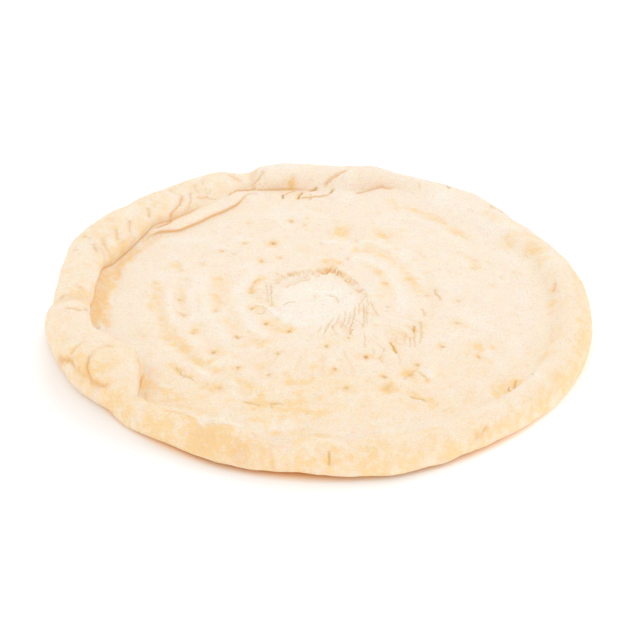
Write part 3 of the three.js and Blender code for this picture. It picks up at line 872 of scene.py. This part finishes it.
def along_line(x, y, line):
    """How far along a line each point lies, from 0 to 1, and how far to the left of it."""
    lengths = np.hypot(*np.diff(line, axis=0).T)
    reached = np.concatenate(([0], np.cumsum(lengths)))
    nearest = np.full(x.shape, np.inf)
    along = np.zeros(x.shape)
    side = np.zeros(x.shape)
    for start, end, length, before in zip(line, line[1:], lengths, reached):
        ux, uy = (end - start) / length
        t = np.clip((x - start[0]) * ux + (y - start[1]) * uy, 0, length)
        dx = x - start[0] - t * ux
        dy = y - start[1] - t * uy
        away = np.hypot(dx, dy)
        closer = away < nearest
        nearest = np.where(closer, away, nearest)
        along = np.where(closer, (before + t) / reached[-1], along)
        side = np.where(closer, np.copysign(away, ux * dy - uy * dx), side)
    return along, side


def near_line(x, y, points, reach):
    """Which points lie near a line, how far along it each is, and how far to the left of it."""
    line = smooth_line(points)
    low, high = line.min(0) - reach, line.max(0) + reach
    near = np.flatnonzero((x > low[0]) & (x < high[0]) & (y > low[1]) & (y < high[1]))
    along, side = along_line(x[near], y[near], line)
    return near, along, side


def smeared(x, y, smears):
    """How thickly smears along lines cover each point."""
    ragged = 1 + layered(flat(x, y), SMEAR_RAGGED)
    cover = 0 * x
    for points, half, strength in smears:
        near, _, side = near_line(x, y, points, BELL_REACH * half)
        cover[near] += strength * bell(side * ragged[near], half)
    return cover


def patched(x, y, patches):
    """How strongly round patches act on each point."""
    total = 0 * x
    for at_x, at_y, half, strength in patches:
        total += strength * bell(np.hypot(x - at_x, y - at_y), half)
    return total


def rim_at(angle):
    """The rim's sizes at each angle, by their keys."""
    stations = columns(RIM_STATIONS, RIM_KEYS)
    rim = {key: around_circle(stations, key, angle) for key in RIM_KEYS[1:]}
    for at, span, narrower, lower in DENTS:
        here = bell(turn_between(angle, at), span)
        rim["width"] -= narrower * here
        rim["crest"] -= lower * here
    return rim


def blended_corners(first, second, share):
    """Corners some share of the way from the first ones to the second ones."""
    for (a, b), (c, d) in zip(first, second):
        yield between(a, c, share), between(b, d, share)


def section_corners(angle):
    """Corners of the rim's section at each angle: radius and height, from underneath to the floor."""
    rim = rim_at(angle)
    outer, width, crest, soft, ply, ply_width, ramp, lift = (rim[key] for key in RIM_KEYS[1:])
    roll_width = np.minimum(width, ROLL_WIDTH_MAX)
    foot = FLOOR_THICKNESS + ply
    edge = outer - width - ply_width
    corners = []
    for inset, rise in blended_corners(ROUND_CORNERS, LIFTED_CORNERS, lift):
        corners.append((outer - inset * roll_width, rise * crest))
    for inset, rise in blended_corners(ROLLED_CORNERS, SOFT_CORNERS, soft):
        corners.append((outer - inset * width, foot + rise * (crest - foot)))
    for out, rise in blended_corners(LEDGE_CORNERS, RAMP_CORNERS, ramp):
        corners.append((edge + out * ply_width, FLOOR_THICKNESS + rise * ply))
    for margins in LEVEL_CORNERS:
        corners.append((edge - margins * FLOOR_MARGIN, np.full_like(angle, FLOOR_THICKNESS)))
    return np.moveaxis(np.array(corners), 1, 2)


def section_points(corners, share):
    """The point of each section at its share of the way along: a uniform cubic B-spline."""
    spans = len(corners) - 3
    i = np.minimum((share * spans).astype(int), spans - 1)
    t = share * spans - i
    weights = (
        (1 - t) ** 3 / 6,
        (3 * t**3 - 6 * t * t + 4) / 6,
        (-3 * t**3 + 3 * t * t + 3 * t + 1) / 6,
        t**3 / 6,
    )
    each_one = np.arange(len(share))
    return sum(weight[:, None] * corners[i + k, each_one] for k, weight in enumerate(weights))


def bare_surface(angle, way):
    """Radius and height of points on the dough without its relief, and the direction into it there."""
    share = np.clip(way, 0, 1)
    corners = section_corners(angle)
    point = section_points(corners, share)
    along = section_points(corners, np.minimum(share + SECTION_STEP, 1))
    along -= section_points(corners, np.maximum(share - SECTION_STEP, 0))
    along /= np.linalg.norm(along, axis=-1, keepdims=True)
    point[:, 0] *= np.where(way < 0, 1 + way, np.where(way > 1, 2 - way, 1))
    return point, np.stack((-along[:, 1], along[:, 0]), -1)


def roll_crease_depth(angle, way):
    along = (np.clip(way, 0, 1) - CREASED_FROM) / (CREASED_TO - CREASED_FROM)
    on_roll = np.sin(math.pi * np.clip(along, 0, 1))
    depth = 0
    for at, slant, deep, half in ROLL_CREASES:
        centre = at + slant * (along - 0.5)
        depth = depth + deep * bell(turn_between(angle, centre), half)
    return depth * on_roll


def rim_unevenness(place, angle, way):
    """How far lumps stand out on the rim, and again on its outer face, most at the front."""
    relief = smoothstep(way, *RELIEF_STARTS)
    on_rim = relief * (1 - smoothstep(way, *FLOOR_STARTS))
    on_face = relief * (1 - smoothstep(way, *FACE_LUMPS_END))
    front = smoothstep(-np.sin(np.radians(angle)), *FACE_FRONT)
    on_face *= between(*FACE_LUMPY, front)
    return on_rim * layered(place, RIM_LUMPS) + on_face * layered(place, FACE_LUMPS)


def track_depth(radius, angle):
    depth = 0
    for from_radius, winds, start, end, deep, half in FINGER_TRACKS:
        reach = (end - start) / 2
        turn = turn_between(angle, (start + end) / 2)
        centre = from_radius + winds * (turn + reach) / (2 * reach)
        present = 1 - smoothstep(np.abs(turn), reach - TRACK_FADE, reach)
        depth = depth + deep * present * bell(radius - centre, half)
    return depth


def twist_height(x, y, spread):
    """Height of the twist over the floor, and how far each point is on its torn wall and browned, both as
    painted shade.
    """
    radius = np.hypot(x, y)
    angle = np.degrees(np.arctan2(y, x))
    plan = flat(x, y)
    stations = columns(TWIST_STATIONS, TWIST_KEYS)
    lip = around_circle(stations, "lip", angle)
    jagged = np.clip(lip, 0, 1) * layered(plan, TWIST_JAGGED)
    beyond = radius - around_circle(stations, "radius", angle) + jagged
    steep = smoothstep(beyond, -WALL_STEEP_HALF, WALL_STEEP_HALF)
    slope = smoothstep(beyond, -WALL_SLOPE_HALF, WALL_SLOPE_HALF)
    outside = between(slope, steep, WALL_STEEP_SHARE)
    height = -TWIST_PIT * (1 - outside) + lip * outside * bell(np.maximum(beyond, 0), TWIST_LIP_REACH)

    torn = smoothstep(lip, *TORN_LIP)
    brownest = bell(turn_between(angle, BROWNEST_AT), BROWNEST_SPAN)
    dashes = smoothstep(layered(plan, WALL_DASHES), *DASH_EDGE)
    wall = torn * bell(beyond, WALL_STEEP_HALF + spread) * np.where(spread, 1, dashes)
    wall *= between(*WALL_MARKED, brownest)
    patchy = smoothstep(layered(plan, WALL_PATCHY), *PATCH_EDGE)
    browned = torn * between(*WALL_BROWN, brownest) * patchy
    browned *= bell(beyond - WALL_BROWN_OUT, between(*WALL_BROWN_HALF, brownest))
    return height, wall, browned


def pit_rows():
    """The pits seen one by one, and many small pores scattered over the floor."""
    draw = np.random.default_rng(PORE_SEED)
    radius = PORE_REACH * np.sqrt(draw.uniform(*PORE_AREA, PORES))
    angle = draw.uniform(0, 2 * math.pi, PORES)
    half = draw.uniform(*PORE_HALF, PORES)
    depth = half * draw.uniform(*PORE_STEEPNESS, PORES)
    pores = zip(radius * np.cos(angle), radius * np.sin(angle), half, depth)
    return [*PITS, *pores]


def press_pits(x, y, spread):
    """Depth of the pits, and how far each point is darkened and browned by them as painted shade."""
    depth = 0 * x
    dark = 0 * x
    brown = 0 * x
    for at_x, at_y, half, deep in pit_rows():
        halo = HALO_HALF + HALO_WIDENS * half
        reach = BELL_REACH * (halo + spread)
        near = np.flatnonzero((np.abs(x - at_x) < reach) & (np.abs(y - at_y) < reach))
        away = np.hypot(x[near] - at_x, y[near] - at_y)
        away *= 1 + layered(flat(x[near], y[near]), PIT_RAGGED)
        depth[near] += deep * np.exp(-((away / half) ** PIT_POWER))
        strength = min(PIT_STRENGTH_MOST, PIT_STRENGTH * deep)
        darkened = strength * bell(away, PIT_PAINTED_SHADE_WIDTH * half + spread)
        dark[near] = np.maximum(dark[near], darkened)
        brown[near] = np.maximum(brown[near], strength * bell(away, halo))
    return depth, dark, brown


def press_marks(x, y, spread):
    """Depth of grooves along lines, less the lift beside them, and how far each point is given painted
    shade.
    """
    wander = layered(flat(x, y), MARK_WANDER)
    depth = 0 * x
    coloured = {"dark": 0 * x, "stain": 0 * x}
    marks = [(*mark, kind, weight) for group, kind, weight in MARK_GROUPS for mark in group]
    for points, deep, half, lift, kind, weight in marks:
        reach = BELL_REACH * (half + spread + LIFT_REACH * (lift != 0))
        near, along, side = near_line(x, y, points, reach)
        side += wander[near]
        taper = smoothstep(along, 0, MARK_TAPER) * (1 - smoothstep(along, 1 - MARK_TAPER, 1))
        raised = smoothstep(side, -LIFT_EDGE, LIFT_EDGE) * np.exp(-np.maximum(side, 0) / LIFT_REACH)
        depth[near] += taper * (deep * bell(side, half) - lift * raised)
        strength = weight * min(1, deep) * taper
        colour = coloured[kind]
        colour[near] = np.maximum(colour[near], strength * bell(side, MARK_COLOUR_WIDTH * half + spread))
    return depth, coloured


def fan_wrinkles(x, y):
    """Depth of the fine stretch wrinkles."""
    radius = np.hypot(x, y)
    bearing = np.arctan2(y, x)
    depth = 0 * x
    for number, (start, end, inner, outer, deep, spacing) in enumerate(FANS):
        reach = (end - start) / 2
        turn = np.abs(turn_between(np.degrees(bearing), (start + end) / 2))
        half = (outer - inner) / 2
        away = np.abs(radius - (outer + inner) / 2)
        here = 1 - smoothstep(turn, (1 - FAN_FADE) * reach, reach)
        here *= 1 - smoothstep(away, (1 - FAN_FADE) * half, half)
        fine = FAN_LUMPS * math.degrees(1) / spacing
        spots = np.stack((fine * np.cos(bearing), fine * np.sin(bearing), radius / FAN_LENGTH), -1)
        depth += deep * here * smoothstep(lumps(spots, 1, FAN_SEED + number), *FAN_RIDGE)
    return depth


def floor_grain(x, y):
    """Small unevenness of the pressed floor: streaks round the twist, and soft lumps."""
    radius = np.hypot(x, y)
    c, s = x / np.maximum(radius, 1), y / np.maximum(radius, 1)
    spots = np.stack((radius / STREAK_WIDTH, STREAKS_ROUND * c, STREAKS_ROUND * s), -1)
    return layered(spots, FLOOR_STREAKS) + layered(flat(x, y), FLOOR_LUMPS)


def cove_at(rim, way, ends):
    """How far each point is in the cove between a tight roll and the ply that ramps down from it."""
    tight = smoothstep(1 - rim["soft"], *COVE_ROLLED) * smoothstep(rim["ply"], *COVE_PLY)
    return rim["ramp"] * tight * smoothstep(way, *COVE_STARTS) * (1 - smoothstep(way, *ends))


def edge_painted_shade(rim, way):
    """Painted shade, in brown, along the roll's foot and the ply's edge, in the cove, and underneath."""
    foot = FOOT_SHADE_BROWN * bell(way - FOOT_AT, FOOT_HALF) * smoothstep(1 - rim["soft"], *FOOT_ROLLED)
    lip = LIP_SHADE_BROWN * bell(way - LIP_AT, LIP_HALF) * smoothstep(rim["ply"], *LIP_PLY) * (1 - rim["ramp"])
    cove = COVE_SHADE_BROWN * cove_at(rim, way, COVE_SHADE_ENDS)
    underneath = UNDER_SHADE_BROWN * (1 - smoothstep(way, *UNDER_SHADE_ENDS))
    return np.maximum.reduce((foot, lip, cove, underneath))


def tan_at(x, y, angle, way, pressed):
    """How tan the dough is, from 0 to TAN_MOST, with painted shade in its pressed forms, cove and
    underside.
    """
    front = smoothstep(-y, *FRONT_REACH) * smoothstep(way, *FRONT_TAN_STARTS)
    tan = pressed + FRONT_TAN * front + patched(x, y, TAN_PATCHES)
    stations = columns(RIM_TAN, RIM_TAN_KEYS)
    past_face = smoothstep(way, *FACE_TAN_ENDS)
    face = around_circle(stations, "face", angle) * (1 - past_face)
    top = around_circle(stations, "top", angle) * past_face * (1 - smoothstep(way, *TOP_TAN_ENDS))
    tan = tan * smoothstep(way, *PATCHES_START) + face + top
    tan += COVE_TAN * cove_at(rim_at(angle), way, COVE_TAN_ENDS)
    patchy = 1 + layered(flat(x, y), TAN_PATCHY)
    past_underside = smoothstep(way, *UNDER_TAN_ENDS)
    return TAN_MOST * (1 - np.exp(-TAN_RATE * np.maximum(tan * patchy, 0)) * past_underside)


def flour_at(x, y, way, smears):
    """How thickly the dough is floured, from 0 to 1, with smears that are partly painted highlight on
    ridges.
    """
    pit = 1 - smoothstep(np.hypot(x, y), *FLOURED_PIT)
    drift = smoothstep(layered(flat(x, y), FLOUR_DRIFTS), 0, 1)
    loose = (DRIFT_FLOUR * drift + smears) * smoothstep(way, *FLOUR_STARTS)
    return np.clip(PIT_FLOUR * pit + loose, 0, 1)


def dress(angle, way, spread=0):
    """Place of points on the dough's surface, how marked each is, its painted shade, browns, tan and floury
    parts.

    A point is given by its angle and its way over the surface: -1 in the middle underneath, 0 where
    the rim's section starts, 1 where it ends on the floor, and 2 in the middle of the twist. The
    marks' colours reach further out by the spread.
    """
    bare, inward = bare_surface(angle, way)
    c, s = np.cos(np.radians(angle)), np.sin(np.radians(angle))
    x, y = bare[:, 0] * c, bare[:, 0] * s
    on_floor = smoothstep(way, *FLOOR_STARTS)
    on_top = smoothstep(way, *MARKS_START)

    tan_and_shade_smears = smeared(x, y, TAN_AND_SHADE_SMEARS)
    flour_and_highlight_smears = smeared(x, y, FLOUR_AND_HIGHLIGHT_SMEARS)
    hollow = patched(x, y, HOLLOWS) + TAN_SMEAR_DEPTH * tan_and_shade_smears - FLOUR_SMEAR_RISE * flour_and_highlight_smears
    track = track_depth(bare[:, 0], angle)
    pit, pit_painted_shade, pit_brown = press_pits(x, y, spread)
    fan = fan_wrinkles(x, y)
    twist, wall, wall_brown = twist_height(x, y, spread)
    mark, coloured = press_marks(x, y, spread)
    crease = roll_crease_depth(angle, way)

    depth = on_floor * (track + hollow + pit + fan - twist - floor_grain(x, y))
    depth += crease + on_top * mark - rim_unevenness(np.stack((x, y, bare[:, 1]), -1), angle, way)
    radius, height = (bare + depth[:, None] * inward).T

    # Painted shade: darker in pits, cracks, tears and stretch marks and along the twist's wall, and brown
    # along folds, creases, fans, pit halos, the wall's foot, the roll's foot, the ply's edge, the cove and
    # underneath.
    dark = np.maximum(on_floor * np.maximum(pit_painted_shade, WALL_PAINTED_SHADE * wall), on_top * coloured["dark"])
    mark_painted_shade = on_top * coloured["stain"]
    patch_stain = on_top * patched(x, y, STAIN_PATCHES)
    floor_painted_shade = on_floor * np.maximum.reduce(
        (PIT_SHADE_BROWN * pit_brown, WALL_SHADE_BROWN * wall_brown, FAN_SHADE_BROWN * fan)
    )
    rim_painted_shade = np.maximum(CREASE_SHADE_BROWN * crease, edge_painted_shade(rim_at(angle), way))
    # Warm painted shade, as tan, in tracks, hollows, pits and at the twist's wall.
    pressed = TRACK_TAN * track + HOLLOW_TAN * hollow + PIT_TAN * pit_brown + WALL_TAN * wall_brown
    tan = tan_at(x, y, angle, way, on_floor * pressed + tan_and_shade_smears)
    flour_and_highlight = flour_at(x, y, way, flour_and_highlight_smears)
    return {
        "place": np.stack((radius * c, radius * s, height), -1),
        "marked": np.maximum(dark, mark_painted_shade),
        "dark": dark,
        "stain": np.maximum.reduce((mark_painted_shade, patch_stain, floor_painted_shade, rim_painted_shade)),
        "tan": tan * (1 - FLOUR_HIDES * flour_and_highlight),
        "flour_and_highlight": flour_and_highlight,
    }


def ring_ways():
    """The way of each ring of points, and how many angles it has."""
    rim = np.linspace(0, 1, RIM_STEPS + 1)
    floor = np.linspace(1, CENTRE_FROM, FLOOR_STEPS + 1)[1:]
    centre = np.linspace(CENTRE_FROM, 2, CENTRE_STEPS + 1)[1:-1]
    full = [(way, ANGLES) for way in (*UNDERSIDE_WAYS, *rim, *floor)]
    return full + [(way, ANGLES // 2) for way in centre]


def skin_faces(counts):
    """Faces over rings of so many points: a fan underneath, strips from ring to ring, a fan on top."""
    starts = np.cumsum([0, *counts])
    bottom, top = starts[-1], starts[-1] + 1
    first = np.arange(counts[0])
    faces = [(bottom, b, a) for a, b in zip(first, np.roll(first, -1))]
    for lower, upper, begin, after in zip(counts, counts[1:], starts, starts[1:]):
        a = begin + np.arange(lower)
        u = after + np.arange(upper)
        if lower == upper:
            faces += zip(a, np.roll(a, -1), np.roll(u, -1), u)
        else:
            b, c = a[1::2], np.roll(a[0::2], -1)
            faces += zip(a[0::2], b, u)
            faces += zip(b, np.roll(u, -1), u)
            faces += zip(b, c, np.roll(u, -1))
    last = starts[-2] + np.arange(counts[-1])
    faces += [(a, b, top) for a, b in zip(last, np.roll(last, -1))]
    return [tuple(int(i) for i in face) for face in faces]


def angle_and_way(mesh):
    """Angle and way of each point of the unrolled surface: a drum whose height is the way."""
    spots = np.array([vertex.co[:] for vertex in mesh.verts])
    return np.degrees(np.arctan2(spots[:, 1], spots[:, 0])), spots[:, 2]


def unrolled_mesh():
    """The dough's surface unrolled on a drum, refined along its fine marks."""
    rings = ring_ways()
    spots = []
    for way, count in rings:
        turn = 2 * math.pi * np.arange(count) / count
        spots.append(np.stack((np.cos(turn), np.sin(turn), np.full(count, way)), -1))
    spots.append([(0, 0, -1), (0, 0, 2)])
    drum = bpy.data.meshes.new("drum")
    drum.from_pydata(np.concatenate(spots), [], skin_faces([count for way, count in rings]))
    mesh = bmesh.new()
    mesh.from_mesh(drum)
    bpy.data.meshes.remove(drum)
    for spread in MARK_SPREADS:
        busy = dress(*angle_and_way(mesh), spread)["marked"] > BUSY
        mesh.verts.index_update()
        edges = [edge for edge in mesh.edges if all(busy[vertex.index] for vertex in edge.verts)]
        bmesh.ops.subdivide_edges(mesh, edges=edges, cuts=1, use_grid_fill=True)
    return mesh


def new_object(name, data):
    """An object with that data, in the scene."""
    made = bpy.data.objects.new(name, data)
    bpy.context.scene.collection.objects.link(made)
    return made


def make_dough():
    """The dough, moved to stand over the origin, and how far it was moved."""
    unrolled = unrolled_mesh()
    dressed = dress(*angle_and_way(unrolled))
    place = dressed["place"]
    low, high = place.min(0), place.max(0)
    shift = np.array((-(low[0] + high[0]) / 2, -(low[1] + high[1]) / 2, -low[2]))
    mesh = bpy.data.meshes.new("dough_round")
    unrolled.to_mesh(mesh)
    unrolled.free()
    mesh.vertices.foreach_set("co", ((place + shift) * MM).ravel())
    mesh.shade_smooth()
    for name in COLOUR_MASKS:
        values = mesh.attributes.new(name, "FLOAT", "POINT").data
        values.foreach_set("value", dressed[name].astype(np.float32))
    mesh.update()
    return new_object("dough_round", mesh), shift


def make_camera(shift):
    elevation = math.radians(CAMERA_ELEVATION)
    aim = np.array(CAMERA_AIM) + shift
    place = aim + CAMERA_DISTANCE * np.array((0, -math.cos(elevation), math.sin(elevation)))
    data = bpy.data.cameras.new("camera")
    data.lens = CAMERA_LENS
    data.sensor_width = CAMERA_SENSOR
    camera = new_object("camera", data)
    camera.location = place * MM
    camera.rotation_euler = (math.radians(90 - CAMERA_ELEVATION), 0, 0)
    bpy.context.scene.camera = camera


def add(nodes, kind, **values):
    """A node of that kind with its named settings and inputs."""
    node = nodes.new(kind)
    for name, value in values.items():
        if name in node.inputs:
            node.inputs[name].default_value = value
        else:
            setattr(node, name, value)
    return node


def mixed(tree, factor, first, second):
    """A colour between two others, each a colour or a socket."""
    mix = add(tree.nodes, "ShaderNodeMix", data_type="RGBA")
    tree.links.new(factor, mix.inputs[MIX_FACTOR])
    for value, number in ((first, MIX_FIRST), (second, MIX_SECOND)):
        if isinstance(value, tuple):
            mix.inputs[number].default_value = value
        else:
            tree.links.new(value, mix.inputs[number])
    return mix.outputs[MIX_COLOUR]


def mapped(tree, value, ranges):
    """A mask made from a value: one range of it becomes another, which is 0 to 1 if none is given."""
    mask = add(tree.nodes, "ShaderNodeMapRange")
    for name, limit in zip(("From Min", "From Max", "To Min", "To Max"), ranges):
        mask.inputs[name].default_value = limit
    tree.links.new(value, mask.inputs["Value"])
    return mask.outputs["Result"]


def noise(tree, place, scale, detail, ranges):
    """A random mask, of so many lumps to the metre."""
    lumpy = add(tree.nodes, "ShaderNodeTexNoise", Scale=scale, Detail=detail, Roughness=NOISE_ROUGHNESS)
    tree.links.new(place, lumpy.inputs["Vector"])
    return mapped(tree, lumpy.outputs["Fac"], ranges)


def product(tree, first, second):
    times = add(tree.nodes, "ShaderNodeMath", operation="MULTIPLY", use_clamp=True)
    tree.links.new(first, times.inputs[0])
    tree.links.new(second, times.inputs[1])
    return times.outputs["Value"]


def new_material(name, finish):
    """A material with a finish, its node tree and its shader."""
    material = bpy.data.materials.new(name)
    material.use_nodes = True
    shader = material.node_tree.nodes["Principled BSDF"]
    for key, value in finish.items():
        shader.inputs[key].default_value = value
    return material, material.node_tree, shader


def dough_material():
    material, tree, shader = new_material("raw_dough", DOUGH_FINISH)
    masks = {}
    for name in COLOUR_MASKS:
        masks[name] = add(tree.nodes, "ShaderNodeAttribute", attribute_name=name).outputs["Fac"]
    place = add(tree.nodes, "ShaderNodeTexCoord").outputs["Object"]
    for name, values in DOUGH_NOISES.items():
        masks[name] = noise(tree, place, *values)

    # Flour, partly painted highlight on low ridges; then tan, partly painted shade; then random grain and
    # specks.
    colour = mixed(tree, masks["flour_and_highlight"], PALE, FLOUR_AND_HIGHLIGHT_COLOUR)
    colour = mixed(tree, product(tree, masks["tan"], masks["mottle"]), colour, TAN)
    colour = mixed(tree, masks["grain"], colour, TAN)
    colour = mixed(tree, product(tree, masks["rough"], masks["speck"]), colour, SPECK)
    colour = mixed(tree, product(tree, masks["rough"], masks["dust"]), colour, FLOUR_AND_HIGHLIGHT_COLOUR)
    # Brown spots and painted shade, then darker painted shade in pits, cracks and tears.
    colour = mixed(tree, masks["stain"], colour, STAIN_AND_SHADE_COLOUR)
    colour = mixed(tree, masks["dark"], colour, PAINTED_SHADE_COLOUR)
    colour = mixed(tree, masks["fine"], colour, SHADE)
    tree.links.new(colour, shader.inputs["Base Color"])

    bump = add(tree.nodes, "ShaderNodeBump", Strength=BUMP_STRENGTH, Distance=BUMP_HEIGHT)
    tree.links.new(masks["grain"], bump.inputs["Height"])
    tree.links.new(bump.outputs["Normal"], shader.inputs["Normal"])
    return material


def disc(tree, middle, edge, shift):
    """A mask that is 0 inside a disc on the floor and 1 outside it."""
    place = add(tree.nodes, "ShaderNodeTexCoord").outputs["Object"]
    centre = [(along + moved) * MM for along, moved in zip(middle, shift)]
    distance = add(tree.nodes, "ShaderNodeVectorMath", operation="DISTANCE")
    tree.links.new(place, distance.inputs[0])
    distance.inputs[1].default_value = (*centre, 0)
    return mapped(tree, distance.outputs["Value"], [radius * MM for radius in edge])


def floor_material(shift):
    material, tree, shader = new_material("pale_floor", FLOOR_FINISH)
    colour = PLAIN_FLOOR
    # Painted soft shadows in discs to the left and right, then a painted warm contact shadow where the
    # dough lies.
    for middle, edge in SHADES:
        colour = mixed(tree, disc(tree, middle, edge, shift), SHADED_FLOOR, colour)
    colour = mixed(tree, disc(tree, *FOOTPRINT, shift), CONTACT_SHADOW_FLOOR, colour)
    tree.links.new(colour, shader.inputs["Base Color"])
    glow = UNDER_GLOW
    for middle, edge, strength in GLOWS:
        glow = mixed(tree, disc(tree, middle, edge, shift), glow, (strength, strength, strength, 1))
    tree.links.new(glow, shader.inputs["Emission Color"])
    return material


def make_floor(shift):
    sides = ((-1, -1), (1, -1), (1, 1), (-1, 1))
    corners = [(STUDIO_HALF * right, STUDIO_HALF * back, 0) for right, back in sides]
    mesh = bpy.data.meshes.new("studio_floor")
    mesh.from_pydata(corners, [], [(0, 1, 2, 3)])
    mesh.materials.append(floor_material(shift))
    floor = new_object("studio_floor", mesh)


def add_lamp(name, place, size, power):
    """A round lamp that faces the middle of the floor."""
    data = bpy.data.lights.new(name, "AREA")
    data.shape = "DISK"
    data.size = size
    data.energy = power
    lamp = new_object(name, data)
    lamp.location = place
    lamp.rotation_euler = (-lamp.location).to_track_quat("-Z", "Y").to_euler()


def make_light():
    world = bpy.data.worlds.new("studio")
    bpy.context.scene.world = world
    world.use_nodes = True
    background = world.node_tree.nodes["Background"]
    background.inputs["Color"].default_value = WORLD_COLOUR
    background.inputs["Strength"].default_value = WORLD_STRENGTH
    for lamp in LAMPS:
        add_lamp(*lamp)
    bpy.context.scene.view_settings.view_transform = "Standard"


dough, shift = make_dough()
dough.data.materials.append(dough_material())
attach(dough, "root")
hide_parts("dough")
make_camera(shift)
make_floor(shift)
make_light()
